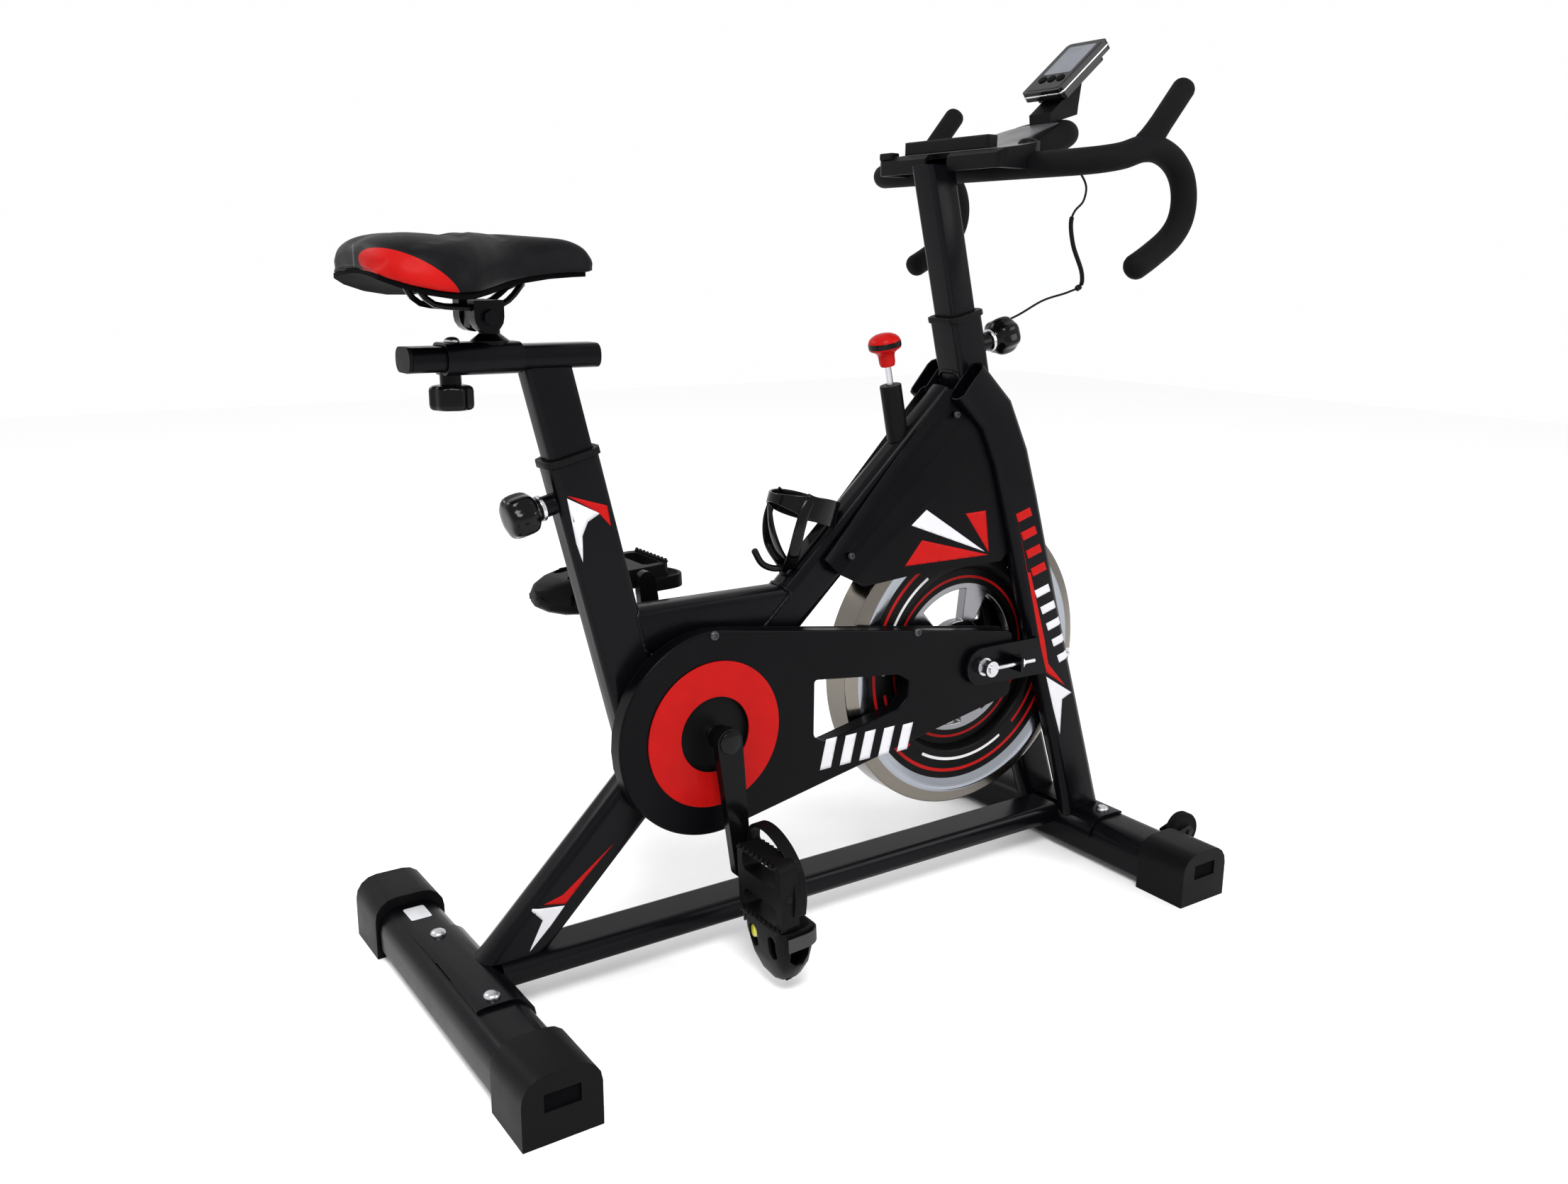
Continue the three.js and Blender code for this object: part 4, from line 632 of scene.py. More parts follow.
SEAT_MAST = local_frame(-332, 632, (math.cos(MAST_TILT), math.sin(MAST_TILT)))
HEAD_MAST = local_frame(219, 775, (math.cos(MAST_TILT), math.sin(MAST_TILT)))
BRAKE_LINE = local_frame(125.5, 641, (math.cos(math.radians(12)), math.sin(math.radians(12))))
CAGE = local_frame(-58.5, 455.9, (0.729, 0.6845))
CONSOLE = local_frame(388.5, 1096, (math.cos(math.radians(40)), math.sin(math.radians(40))))


def turned_in(place, name, profile, axis, origin, material, body, **options):
    """`turned`, with its axis and origin (in millimetres) given in a local frame."""
    return turned(name, profile, place.to_3x3() @ Vector(axis), place @ mm(*origin), material, body,
                  **options)


def moved_points(outline, amount):
    """A closed outline of (x, z) points pushed outwards by `amount`."""
    area = sum(a[0] * b[1] - b[0] * a[1] for a, b in zip(outline, outline[1:] + outline[:1]))
    sign = 1 if area > 0 else -1
    result = []
    for i, p in enumerate(outline):
        before = Vector(p) - Vector(outline[i - 1])
        after = Vector(outline[(i + 1) % len(outline)]) - Vector(p)
        n1, n2 = (Vector((v.y, -v.x)).normalized() for v in (before, after))
        normal = (n1 + n2).normalized()
        result.append(tuple(Vector(p) + normal * (sign * amount / max(0.5, normal.dot(n1)))))
    return result


def plate_mesh(name, outline, holes, depth, bevel):
    """A flat plate drawn in local X-Y with rounded edges, from z = -depth to 0; lengths in millimetres."""
    curve = bpy.data.curves.new(name, "CURVE")
    curve.dimensions, curve.fill_mode = "2D", "BOTH"
    curve.extrude = depth / 2000 - bevel / 1000
    curve.bevel_depth, curve.bevel_resolution = bevel / 1000, 2
    for points in [moved_points(outline, -bevel)] + [moved_points(h, bevel) for h in holes]:
        spline = curve.splines.new("POLY")
        spline.points.add(len(points) - 1)
        spline.use_cyclic_u = True
        for point, (x, y) in zip(spline.points, points):
            point.co = (x / 1000, y / 1000, 0, 1)
    draft = bpy.data.objects.new(name, curve)
    bpy.context.scene.collection.objects.link(draft)
    mesh = bpy.data.meshes.new_from_object(draft.evaluated_get(bpy.context.evaluated_depsgraph_get()))
    bpy.data.objects.remove(draft)
    weld_mesh(mesh)
    mesh.transform(Matrix.Translation((0, 0, -depth / 2000)))
    return mesh


RIGHT_FACE = Matrix(((1, 0, 0, 0), (0, 0, -1, 0), (0, 1, 0, 0), (0, 0, 0, 1)))


def side_plate(name, outline, holes, y0, y1, material, body, bevel=0.8, **options):
    """A plate drawn in X and Z whose outer face is at y0, the lower Y."""
    mesh = plate_mesh(name, outline, holes, y1 - y0, bevel)
    mesh.transform(Matrix.Translation((0, y0 / 1000, 0)) @ RIGHT_FACE)
    obj = piece(name, mesh, material, body, **options)
    even_shading(obj)
    return obj


def arc(cx, cz, radius, start, end, steps):
    return [(cx + radius * math.cos(start + (end - start) * i / steps),
             cz + radius * math.sin(start + (end - start) * i / steps)) for i in range(steps + 1)]


def disc(cx, cz, radius, steps=48):
    return arc(cx, cz, radius, 0, 2 * math.pi * (steps - 1) / steps, steps - 1)


def rounded(width, height, radius, steps=5):
    """A rectangle with round corners, centred on the origin."""
    x, y = width / 2 - radius, height / 2 - radius
    quarter = math.pi / 2
    return [p for k, (cx, cy) in enumerate(((x, y), (-x, y), (-x, -y), (x, -y)))
            for p in arc(cx, cy, radius, k * quarter, (k + 1) * quarter, steps)]


def block(name, place, centre, size, material, body, bevel=1.0, **options):
    """A box with rounded edges in a local frame; centre and size in millimetres."""
    mesh = plate_mesh(name, rounded(size[0], size[1], min(size[0], size[1]) * 0.22), [], size[2], bevel)
    mesh.transform(place @ Matrix.Translation(mm(centre[0], centre[1], centre[2] + size[2] / 2)))
    obj = piece(name, mesh, material, body, **options)
    even_shading(obj)
    return obj


# ---------------------------------------------------------------- flywheel
def make_flywheel():
    """A heavy turned rim on a cast web with five windows, its hub and the belt's small pulley."""
    body = "flywheel_body"
    centre = (AXLE[0], 0, AXLE[1])
    rim = [
        (124, -8), (126, -14), (129, -19.5), (132, -22), (140, -22), (154, -22), (166.5, -22), (168, -22.3),
        (170, -23), (178, -25.5), (184, -27), (187, -27), (200, -23), (203, -21.6), (204, -20.5), (204, -10),
        (204, 10), (204, 20.5), (203, 21.6), (200, 23), (187, 27), (184, 27), (178, 25.5), (170, 23),
        (168, 22.3), (166.5, 22), (154, 22), (140, 22), (132, 22), (129, 19.5), (126, 14), (124, 8),
    ]
    mesh = lathe_mesh("flywheel_rim", [(r / 1000, y / 1000) for r, y in rim], (0, 1, 0), centre, 160)
    close_lathe(mesh)
    obj = piece("flywheel_rim", mesh, "wheel", body, replaces=["flywheel"], slot="rim_chrome")
    soften(obj, 0.0004, 40)
    web = polar_plate("flywheel_web", (23, 38, 52, 74, 96, 110, 126), 8)
    soften(piece("flywheel_web", web, "wheel", body), 0.0016, 50)
    hub = [(6.5, -30), (23, -30), (24.5, -28.5), (25, -12), (30, -7.5), (30, 7.5), (25, 12), (24.5, 28.5),
           (23, 30), (6.5, 30)]
    turned("flywheel_hub", hub, (0, 1, 0), centre, "steel", body)
    pulley = [(6.6, -48.5), (31.2, -48.5), (32, -47.8), (32, -35.8), (31.2, -35), (22, -34.5), (22, -29.5),
              (6.6, -29.5)]
    turned("flywheel_pulley", pulley, (0, 1, 0), centre, "steel", body)


def close_lathe(mesh):
    """Joins the last ring of a lathe to its first, in place of the two end caps."""
    bm = bmesh.new()
    bm.from_mesh(mesh)
    caps = sorted(bm.faces, key=lambda f: -len(f.verts))[:2]
    loops = [list(f.edges) for f in caps]
    bmesh.ops.delete(bm, geom=caps, context="FACES_ONLY")
    bmesh.ops.bridge_loops(bm, edges=loops[0] + loops[1])
    bmesh.ops.recalc_face_normals(bm, faces=bm.faces[:])
    bm.to_mesh(mesh)
    bm.free()


def polar_plate(name, radii, half, sides=180, windows=5, inner=52, outer=96, start=0.2, span=0.85):
    """A plate in polar cells about the axle, with kidney windows left out between two radii."""
    def kept(i, j):
        angle = (2 * math.pi * (j + 0.5) / sides - start) % (2 * math.pi / windows)
        return not (inner - 1 < radii[i] and radii[i + 1] < outer + 1 and angle < span)

    def at(i, j, y):
        angle = 2 * math.pi * j / sides
        return mm(AXLE[0] * 1000 + radii[i] * math.cos(angle), y, AXLE[1] * 1000 + radii[i] * math.sin(angle))

    bm = bmesh.new()
    rows = len(radii)
    verts = {(i, j, y): bm.verts.new(at(i, j, y))
             for i in range(rows) for j in range(sides) for y in (-half, half)}
    for i in range(rows - 1):
        for j in range(sides):
            if not kept(i, j):
                continue
            k = (j + 1) % sides
            corners = [(i, j), (i + 1, j), (i + 1, k), (i, k)]
            for y in (-half, half):
                bm.faces.new([verts[(*c, y)] for c in corners])
            neighbours = [(i, (j - 1) % sides), (i + 1, j), (i, k), (i - 1, j)]
            for n, (ni, nj) in enumerate(neighbours):
                if ni < 0 or ni >= rows - 1 or not kept(ni, nj):
                    a, b = corners[n], corners[(n + 1) % 4]
                    bm.faces.new([verts[(*a, -half)], verts[(*b, -half)], verts[(*b, half)],
                                  verts[(*a, half)]])
    bmesh.ops.delete(bm, geom=[v for v in bm.verts if not v.link_faces], context="VERTS")
    bmesh.ops.recalc_face_normals(bm, faces=bm.faces[:])
    return mesh_from(bm, name)


# ---------------------------------------------------------------- belt cover and side shrouds
def make_cover():
    """The belt cover's outer shell with its window, the red ring round the crank, and its screws."""
    cx, cz, radius = CRANK[0] * 1000, CRANK[1] * 1000, 126
    front, top, bottom, corner = 299, 359, 264, 12
    ups = tangent_angle(cx, cz, radius, front, top, 1)
    downs = tangent_angle(cx, cz, radius, front, bottom, -1)
    outline = arc(cx, cz, radius, ups, downs + 2 * math.pi, 90)
    outline += arc(front - corner, bottom + corner, corner, -1.45, 0, 6)
    outline += arc(front - corner, top - corner, corner, 0, 1.4, 6)
    window = round_corners([(-33, 342), (100, 327), (118, 316), (116, 294), (102, 281), (-16, 257),
                            (-33, 268)], 5)
    screws = [(-178, 421), (129, 380)]
    holes = [window, disc(cx, cz, 46.5, 64)]
    side_plate("belt_cover_face", outline, holes, -52, -47, "shell", "frame", 2.4,
               replaces=["belt_cover_outer"], slot="black_plastic")
    side_plate("belt_cover_wall", outline, [moved_points(outline, -2.5)], -49.7, -32.3, "shell", "frame", 0.3)
    side_plate("belt_cover_tunnel", moved_points(window, 2.4), [window], -49.7, -32.3, "shell", "frame", 0.3)
    side_plate("red_cover_ring", disc(cx, cz, 90, 96), [disc(cx, cz, 46.5, 64)], -54.5, -52.2, "red",
               "frame", 0.9, replaces=["cover_ring"], slot="red_plastic")
    for i, (x, z) in enumerate(screws):
        screw(f"cover_screw_{i}", mm(x, -52, z), (0, -1, 0), "frame")
    side_plate("axle_hole_rim", disc(AXLE[0] * 1000, AXLE[1] * 1000, 15),
               [disc(AXLE[0] * 1000, AXLE[1] * 1000, 8)], -52.9, -51.6, "plastic", "frame", 0.4)


def tangent_angle(cx, cz, radius, x, z, side):
    return math.atan2(z - cz, x - cx) + side * math.acos(radius / math.hypot(x - cx, z - cz))


def round_corners(points, radius, steps=4):
    """A polygon whose corners are eased by short curves."""
    result = []
    for i, p in enumerate(points):
        p, a, b = Vector(p), Vector(points[i - 1]), Vector(points[(i + 1) % len(points)])
        start = p + (a - p).normalized() * min(radius, (a - p).length * 0.45)
        end = p + (b - p).normalized() * min(radius, (b - p).length * 0.45)
        for k in range(steps + 1):
            t = k / steps
            result.append(tuple(start * (1 - t) ** 2 + p * (2 * t * (1 - t)) + end * t ** 2))
    return result


def screw(name, place, axis, body, radius=6.0):
    """A domed screw with a socket in its head."""
    profile = [(1.6, 0.8), (2.4, 0.9), (2.7, 3.0), (4.2, 2.9), (radius - 0.8, 2.0), (radius, 0.9),
               (radius, -0.6), (2.0, -0.8)]
    profile = [(r * radius / 6, h) for r, h in profile]
    turned(name, profile, axis, place, "steel_black", body, sides=28)


# ---------------------------------------------------------------- knobs
def make_knobs():
    fluted = [(9, 0.3), (13, 0.3), (13.4, 1.5), (13.4, 5), (16, 8.5), (20, 11), (22.6, 13.5), (24.2, 17),
              (25, 22), (25, 29), (24.4, 34), (23, 38), (20.4, 41), (16, 42.4), (10, 42.8), (4, 42.9)]
    tip = [(0.6, -24), (4.5, -24), (4.5, 1), (0.6, 1)]
    for name, place, at, axis, body, node in (
        ("seat_knob", SEAT_MAST, (-45, 0, -41), (-1, 0, 0), "seat_clamp_knob", "seat_post_knob"),
        ("bar_knob", HEAD_MAST, (48, 0, -42), (1, 0, 0), "handlebar_clamp_knob", "handlebar_post_knob"),
    ):
        turned_in(place, name, fluted, axis, at, "gloss", body, sides=112, lobes=7, depth=0.10,
                  replaces=[node], slot="gloss_black")
        turned_in(place, f"{name}_ferrule", [(8, -0.6), (14.2, -0.6), (14.6, 0.2), (14.6, 3.6), (14.2, 4.2),
                                             (8, 4.4)],
                  axis, at, "silver", body)
        turned_in(place, f"{name}_screw", tip, axis, at, "steel", body)
    small = [(4, 0), (14, 0), (19.5, 0.9), (22, 2.6), (23, 5.4), (23, 20), (22.4, 23.4), (20.2, 25.4),
             (12, 26.2), (4, 26.2)]
    top = mm(-461, 0, 718.7)
    turned("slider_grip", small, (0, 0, -1), top, "gloss", "slider_clamp_knob", sides=112, lobes=7,
           depth=0.10, replaces=["slider_knob"], slot="gloss_black")
    turned("slider_screw", [(0.6, -12), (3.9, -12), (3.9, 1), (0.6, 1)], (0, 0, -1), top, "steel",
           "slider_clamp_knob")


def make_brake():
    body = "brake_hand_knob"
    lower = [(4.4, 79), (8.4, 79), (9.2, 80), (10.3, 84), (10.5, 92), (11.5, 95.5), (15, 98.3), (18.5, 100),
             (20.4, 101.6), (20.6, 103.3), (19, 103.3)]
    band = [(15, 103.2), (21, 103.2), (21.1, 104), (21.1, 109), (20.8, 109.8), (15, 109.8)]
    upper = [(19, 109.7), (20.4, 109.7), (20.2, 111.5), (18.6, 114.4), (15.6, 117), (11, 119.4), (5, 120.7),
             (1, 120.9)]
    turned_in(BRAKE_LINE, "brake_knob_neck", lower, (0, 0, 1), (0, 0, 0), "red", body, sides=72,
              replaces=["brake_knob"], slot="red_plastic")
    turned_in(BRAKE_LINE, "brake_knob_band", band, (0, 0, 1), (0, 0, 0), "gloss", body, sides=72)
    turned_in(BRAKE_LINE, "brake_knob_cap", upper, (0, 0, 1), (0, 0, 0), "red", body, sides=72)
    dress(["brake_rod"], "steel", 0.0003)
    dress(["brake_sleeve"], "plastic", 0.0008)
    dress(["brake_pad"], "felt", 0.0006)


# ---------------------------------------------------------------- bottle cage
def make_bottle_cage():
    def at(x, y, z):
        return CAGE @ mm(x, y, z)

    cuff(at)
    def arm_axes(p, ahead):
        inward = square_to((at(60, 0, 40) - p).normalized(), ahead)
        return ahead.cross(inward), inward

    def prong_axes(p, ahead):
        return Vector((0, 1, 0)), ahead.cross(Vector((0, 1, 0)))

    arm = ((100, 34, 62), (84, 36, 60), (60, 36, 48), (38, 28, 28), (26, 8, 5))
    for name, side in SIDES:
        points = [at(x, side * y, z) for x, y, z in arm]
        blade(f"bottle_arm_{name}", points, arm_axes, lambda i, count: 0.0060 + 0.0030 * i / count)
    prong = [at(*p) for p in ((30, 0, 6), (34, 0, 30), (46, 0, 58), (62, 0, 80))]
    blade("bottle_prong", prong, prong_axes, lambda i, count: 0.0105 - 0.0070 * (i / (count - 1)) ** 1.5)
    tube("bottle_hook", [at(*p) for p in ((40, 0, 4), (18, 0, 12), (6, 0, 34), (10, 0, 58))], 0.0042,
         "gloss", "frame", steps=8, sides=16)
    block("bottle_spine", CAGE, (70, 0, 2.4), (108, 18, 4.2), "gloss", "frame", 1.0)
    for i, x in enumerate((46, 108)):
        screw(f"bottle_screw_{i}", at(x, 0, 4.4), CAGE.to_3x3() @ Vector((0, 0, 1)), "frame", 5)


def blade(name, points, axes, half_width, half_thickness=0.0022):
    """An oval blade of the bottle cage; `axes` gives its wide and thin directions, `half_width` its reach."""
    path = smooth_path(points, 8)
    rings = []
    for i, (p, ahead) in enumerate(zip(path, headings(path))):
        wide, thin = axes(p, ahead)
        reach = half_width(i, len(path))
        rings.append([p + wide * a * reach + thin * b * half_thickness for a, b in circle(1, 16)])
    piece(name, loft(name, rings), "gloss", "frame")


def cuff(at):
    """The upper cuff of the bottle cage: a leaning band, wide in front and narrow at the down tube."""
    rings = []
    for i in range(72):
        angle = 2 * math.pi * i / 72
        out = 43 + 40 * math.cos(angle)
        wide = 6 + 9 * (0.5 - 0.5 * math.cos(angle)) + 5 * math.sin(angle) ** 2
        centre = at(118 - out * 0.55, 38 * math.sin(angle), out)
        outward = (centre - at(118 - 43 * 0.55, 0, 43)).normalized()
        lean = (CAGE.to_3x3() @ Vector((0.876, 0, 0.482))).normalized()
        section = rounded(2 * wide, 3.4, 1.4, 3)
        rings.append([centre + lean * (a / 1000) + outward * (b / 1000) for a, b in section])
    mesh = loft("bottle_cuff", rings + rings[:1], closed_ends=False)
    weld_mesh(mesh)
    obj = piece("bottle_cuff", mesh, "gloss", "frame", replaces=["bottle_cage"], slot="gloss_black")
    even_shading(obj)


# ---------------------------------------------------------------- handlebar
BAR_SIDE = (
    (309, 206, 837), (345, 206, 856), (378, 206, 878), (393, 206, 898), (397, 206, 922), (390, 206, 947),
    (372, 206, 966), (345, 206, 977), (318, 206, 977), (285, 206, 968), (258, 200, 963), (240, 182, 960.5),
    (235, 160, 960), (235, 100, 960), (235, 40, 960),
)
LOOP_SIDE = ((236, 45, 961), (280, 45, 975), (330, 45, 995), (356, 42, 1006), (369, 26, 1011))


def make_handlebar():
    """A dropped bar in foam sleeves, two upright horns and a rounded loop in front of the tray."""
    body = "handlebars"
    across = [mm(x, -y, z) for x, y, z in BAR_SIDE] + [mm(*p) for p in reversed(BAR_SIDE)]
    tube("drop_bar", across, 0.0155, "foam", body, steps=7, sides=32, replaces=["handlebar"],
         slot="foam_grip")
    loop = [mm(*p) for p in LOOP_SIDE] + [mm(373, 0, 1012)] + [mm(x, -y, z) for x, y,
                                                               z in reversed(LOOP_SIDE)]
    tube("front_loop", loop, 0.0158, "foam", body, steps=7, sides=32)
    for name, side in SIDES:
        low, high = mm(318, side * 206, 974), mm(388, side * 206, 1056)
        tube(f"horn_{name}", [low + (high - low) * t for t in (0, 0.2, 0.4, 0.6, 0.8, 1)], 0.0138, "foam",
             body, steps=4, sides=32)
        crook = [low + (high - low) * t for t in (-0.02, 0.12, 0.26, 0.40)]
        rings = []
        for p, scale in zip(smooth_path(crook, 4), (1.0, 1.25, 1.32, 1.3, 1.26, 1.2, 1.15, 1.11, 1.08, 1.05,
                                                    1.03, 1.015, 1.0)):
            ahead = (high - low).normalized()
            across = Vector((0, 1, 0))
            over = ahead.cross(across)
            rings.append([p + across * a + over * b * scale for a, b in circle(0.0139, 32)])
        piece(f"horn_root_{name}", loft(f"horn_root_{name}", rings), "foam", body)


# ---------------------------------------------------------------- tray and console
def make_cockpit():
    body = "handlebars"
    dress(["tablet_tray"], "plastic", 0.0045)
    dress(["console_stem"], "plastic", 0.0030)
    dress(["console"], "gloss", 0.0026)
    plates = (
        ("console_trim", rounded(109.2, 71.2, 7.6), [rounded(106, 68, 6)], 2.0, 0.5, (0, 0, -5), "silver"),
        ("console_face", rounded(98, 60, 5), [], 1.0, 0.3, (0, 0, 0.5), "gloss"),
        ("console_screen", rounded(60, 48, 2.5), [], 1.0, 0.3, (14, 0, 0.9), "screen"),
    )
    for name, outline, holes, depth, bevel, place, finish in plates:
        mesh = plate_mesh(name, outline, holes, depth, bevel)
        mesh.transform(CONSOLE @ Matrix.Translation(mm(*place)))
        even_shading(piece(name, mesh, finish, body))
    make_tray_top(body)
    up = CONSOLE.to_3x3() @ Vector((0, 0, 1))
    for i, y in enumerate((-16, 0, 16)):
        turned(f"console_button_{i}", [(2, 0), (6.2, 0), (6.2, 1.2), (5.4, 2.2), (3, 2.8), (0.5, 3)], up,
               CONSOLE @ mm(-27, y, 0.2), "rubber", body, sides=32)


TRAY_BACK, TRAY_FRONT = 184, 358.5
TRAY_PROFILE = ((184, 977.6), (214, 982.1), (262, 992.1), (330, 1015.1), (354, 1022.2), (358.5, 1021.7))
TRAY_HALF = ((184, 112), (189, 114), (229, 114), (240, 110), (253, 89), (268, 62), (297, 48.5), (339, 39.5),
             (353, 33), (358.5, 23))


def along(table, x):
    """Reads a value off a table of (x, value) points."""
    for (x0, v0), (x1, v1) in zip(table, table[1:]):
        if x <= x1:
            return v0 + (v1 - v0) * max(0, (x - x0) / (x1 - x0))
    return table[-1][1]


def make_tray_top(body):
    """The tray's smooth upper skin in a lighter grey than the tray, a painted sheen of light on its upward
    face, its raised stop with rounded ends, a hook block and a small bump.
    """
    columns, rows = 46, 24
    vertices = []
    for i in range(columns + 1):
        x = TRAY_BACK + (TRAY_FRONT - TRAY_BACK) * i / columns
        half, top = along(TRAY_HALF, x), along(TRAY_PROFILE, x)
        for j in range(rows + 1):
            across = -1 + 2 * j / rows
            vertices.append(mm(x, half * across, top + 0.7 - 0.6 * across ** 6))
    width = rows + 1
    faces = [(i * width + j, (i + 1) * width + j, (i + 1) * width + j + 1, i * width + j + 1)
             for i in range(columns) for j in range(rows)]
    # The upper skin is painted lighter grey: painted sheen on the tray's top face.
    skin = piece("tray_top_sheen", mesh_of("tray_top_sheen", vertices, faces), "tray", body)
    thick = skin.modifiers.new("skin", "SOLIDIFY")
    thick.thickness, thick.offset = 0.0007, -1
    flat = Matrix.Translation(mm(198, 0, 0))
    block("tray_stop", flat, (0, 0, 987), (17, 158, 17), "plastic", body, 2.6)
    block("tray_hook", Matrix.Translation(mm(185, 104, 0)), (0, 0, 979), (15, 26, 9), "plastic", body, 1.8)
    turned("tray_bump", [(0.5, 0), (13, 0), (12.6, 2.4), (10.8, 5), (7.4, 6.9), (3, 7.8), (0.4, 7.9)],
           (0, 0, 1), mm(238, -98, 984.5), "plastic", body, sides=48)


# ---------------------------------------------------------------- printed marks
def make_decals():
    red, white = "red_print", "white_print"
    marks = [
        ("seat_tube_red", [(-345, 596), (-297, 581), (-293, 557), (-308, 574)], "seat_tube", red),
        ("seat_tube_white", [(-345, 593), (-306, 573), (-321, 565), (-328, 550), (-328, 520), (-335, 542)],
         "seat_tube", white),
        ("strut_red", [(-298, 178), (-336, 144), (-362, 118), (-389, 124), (-365, 130)], "rear_strut", red),
        ("strut_white", [(-406, 122), (-363, 116), (-382, 95), (-409, 70), (-391, 105)], "rear_strut", white),
        ("leg_stripe", [(293, 507), (314, 438), (319, 438), (353, 336), (362, 302), (398, 264), (360, 289),
                        (347, 325)], "fork_leg_{}", red),
        ("leg_arrow", [(360, 283), (412, 251), (394, 244), (394, 191), (378, 232)], "fork_leg_{}", white),
    ]
    for i in range(4):
        marks.append((f"leg_bar_red_{i}", slanted(300 + i * 10.5, 523 - i * 26, 25, 21), "fork_leg_{}", red))
    for i in range(5):
        marks.append((f"leg_bar_white_{i}", slanted(341 + i * 12.5, 413 - i * 25, 25, 20), "fork_leg_{}",
                      white))
    marks += [
        ("shroud_white", [(121, 520), (145, 538), (248, 472)], "shroud_{}", white),
        ("shroud_red", [(112, 468), (139, 499), (255, 467)], "shroud_{}", red),
        ("shroud_red_upper", [(211, 527), (246, 528), (255, 470)], "shroud_{}", red),
    ]
    for name, outline, node, colour in marks:
        for hand, side in SIDES:
            decal(f"{name}_{hand}", outline, node.format(hand), colour, side)
    for i in range(5):
        x = -24 + i * 31
        mark = [(x, 222), (x + 17, 222.5), (x + 26, 262 - i), (x + 9, 261.5 - i)]
        decal(f"cover_bar_{i}", mark, "belt_cover_outer", white, -1)


def slanted(x, z, width, height):
    """A slanted bar across a fork leg."""
    left, right = x - width / 2, x + width / 2
    lean = 5
    return [(left, z - height * 0.1), (right, z + height * 0.25), (right + lean, z - height * 0.3),
            (left + lean, z - height * 0.65)]


# ---------------------------------------------------------------- weld beads
def weld_bead(name, start, along, width, depth, mate, radius=0.0026):
    """A rippled bead where a tube of rounded section, running along a line, meets another node."""
    tree = surface_tree(mate)
    along = Vector((along[0], 0, along[1])).normalized()
    over = along.cross(Vector((0, 1, 0)))
    origin = mm(start[0], 0, start[1])
    route = []
    outline = rounded(width, depth, 11, 6)
    dense = []
    for a, b in zip(outline, outline[1:] + outline[:1]):
        pieces = max(1, round((Vector(b) - Vector(a)).length / 2.2))
        dense += [Vector(a).lerp(Vector(b), k / pieces) for k in range(pieces)]
    for q in dense:
        p = origin + over * (q.x / 1000) + Vector((0, 1, 0)) * (q.y / 1000)
        hit, _, _, _ = tree.ray_cast(p, along)
        if hit is not None and (hit - p).length < 0.16:
            route.append(hit)
    if len(route) < 8:
        return
    rings = []
    for i, p in enumerate(route):
        ahead = (route[(i + 1) % len(route)] - route[i - 1]).normalized()
        out = ahead.cross(along).normalized()
        up = out.cross(ahead)
        r = radius * (1 + 0.22 * math.sin(i * 2.1))
        rings.append([p + (out * a + up * b) * r for a, b in circle(1, 10)])
    mesh = loft(name, rings + rings[:1], closed_ends=False)
    weld_mesh(mesh)
    piece(name, mesh, "paint", "frame")


def make_welds():
    weld_bead("weld_down_tube_head", (140, 601.3), (0.729, 0.6845), 60, 40, "head_tube")
    weld_bead("weld_top_tube_seat", (-200, 427), (-1, 0), 60, 40, "seat_tube")
    weld_bead("weld_top_tube_down", (-180, 427), (1, 0), 60, 40, "down_tube")
    weld_bead("weld_strut_seat", (-330, 159.5), (0.7071, 0.7071), 60, 40, "seat_tube")
    weld_bead("weld_down_tube_shell", (-100, 375.8), (-0.729, -0.6845), 60, 40, "bottom_bracket_shell")


# ---------------------------------------------------------------- pedals
STRAP_HALF_WIDTH = 0.0085


def rectangle(a, b):
    return (-a, -b), (a, -b), (a, b), (-a, b)


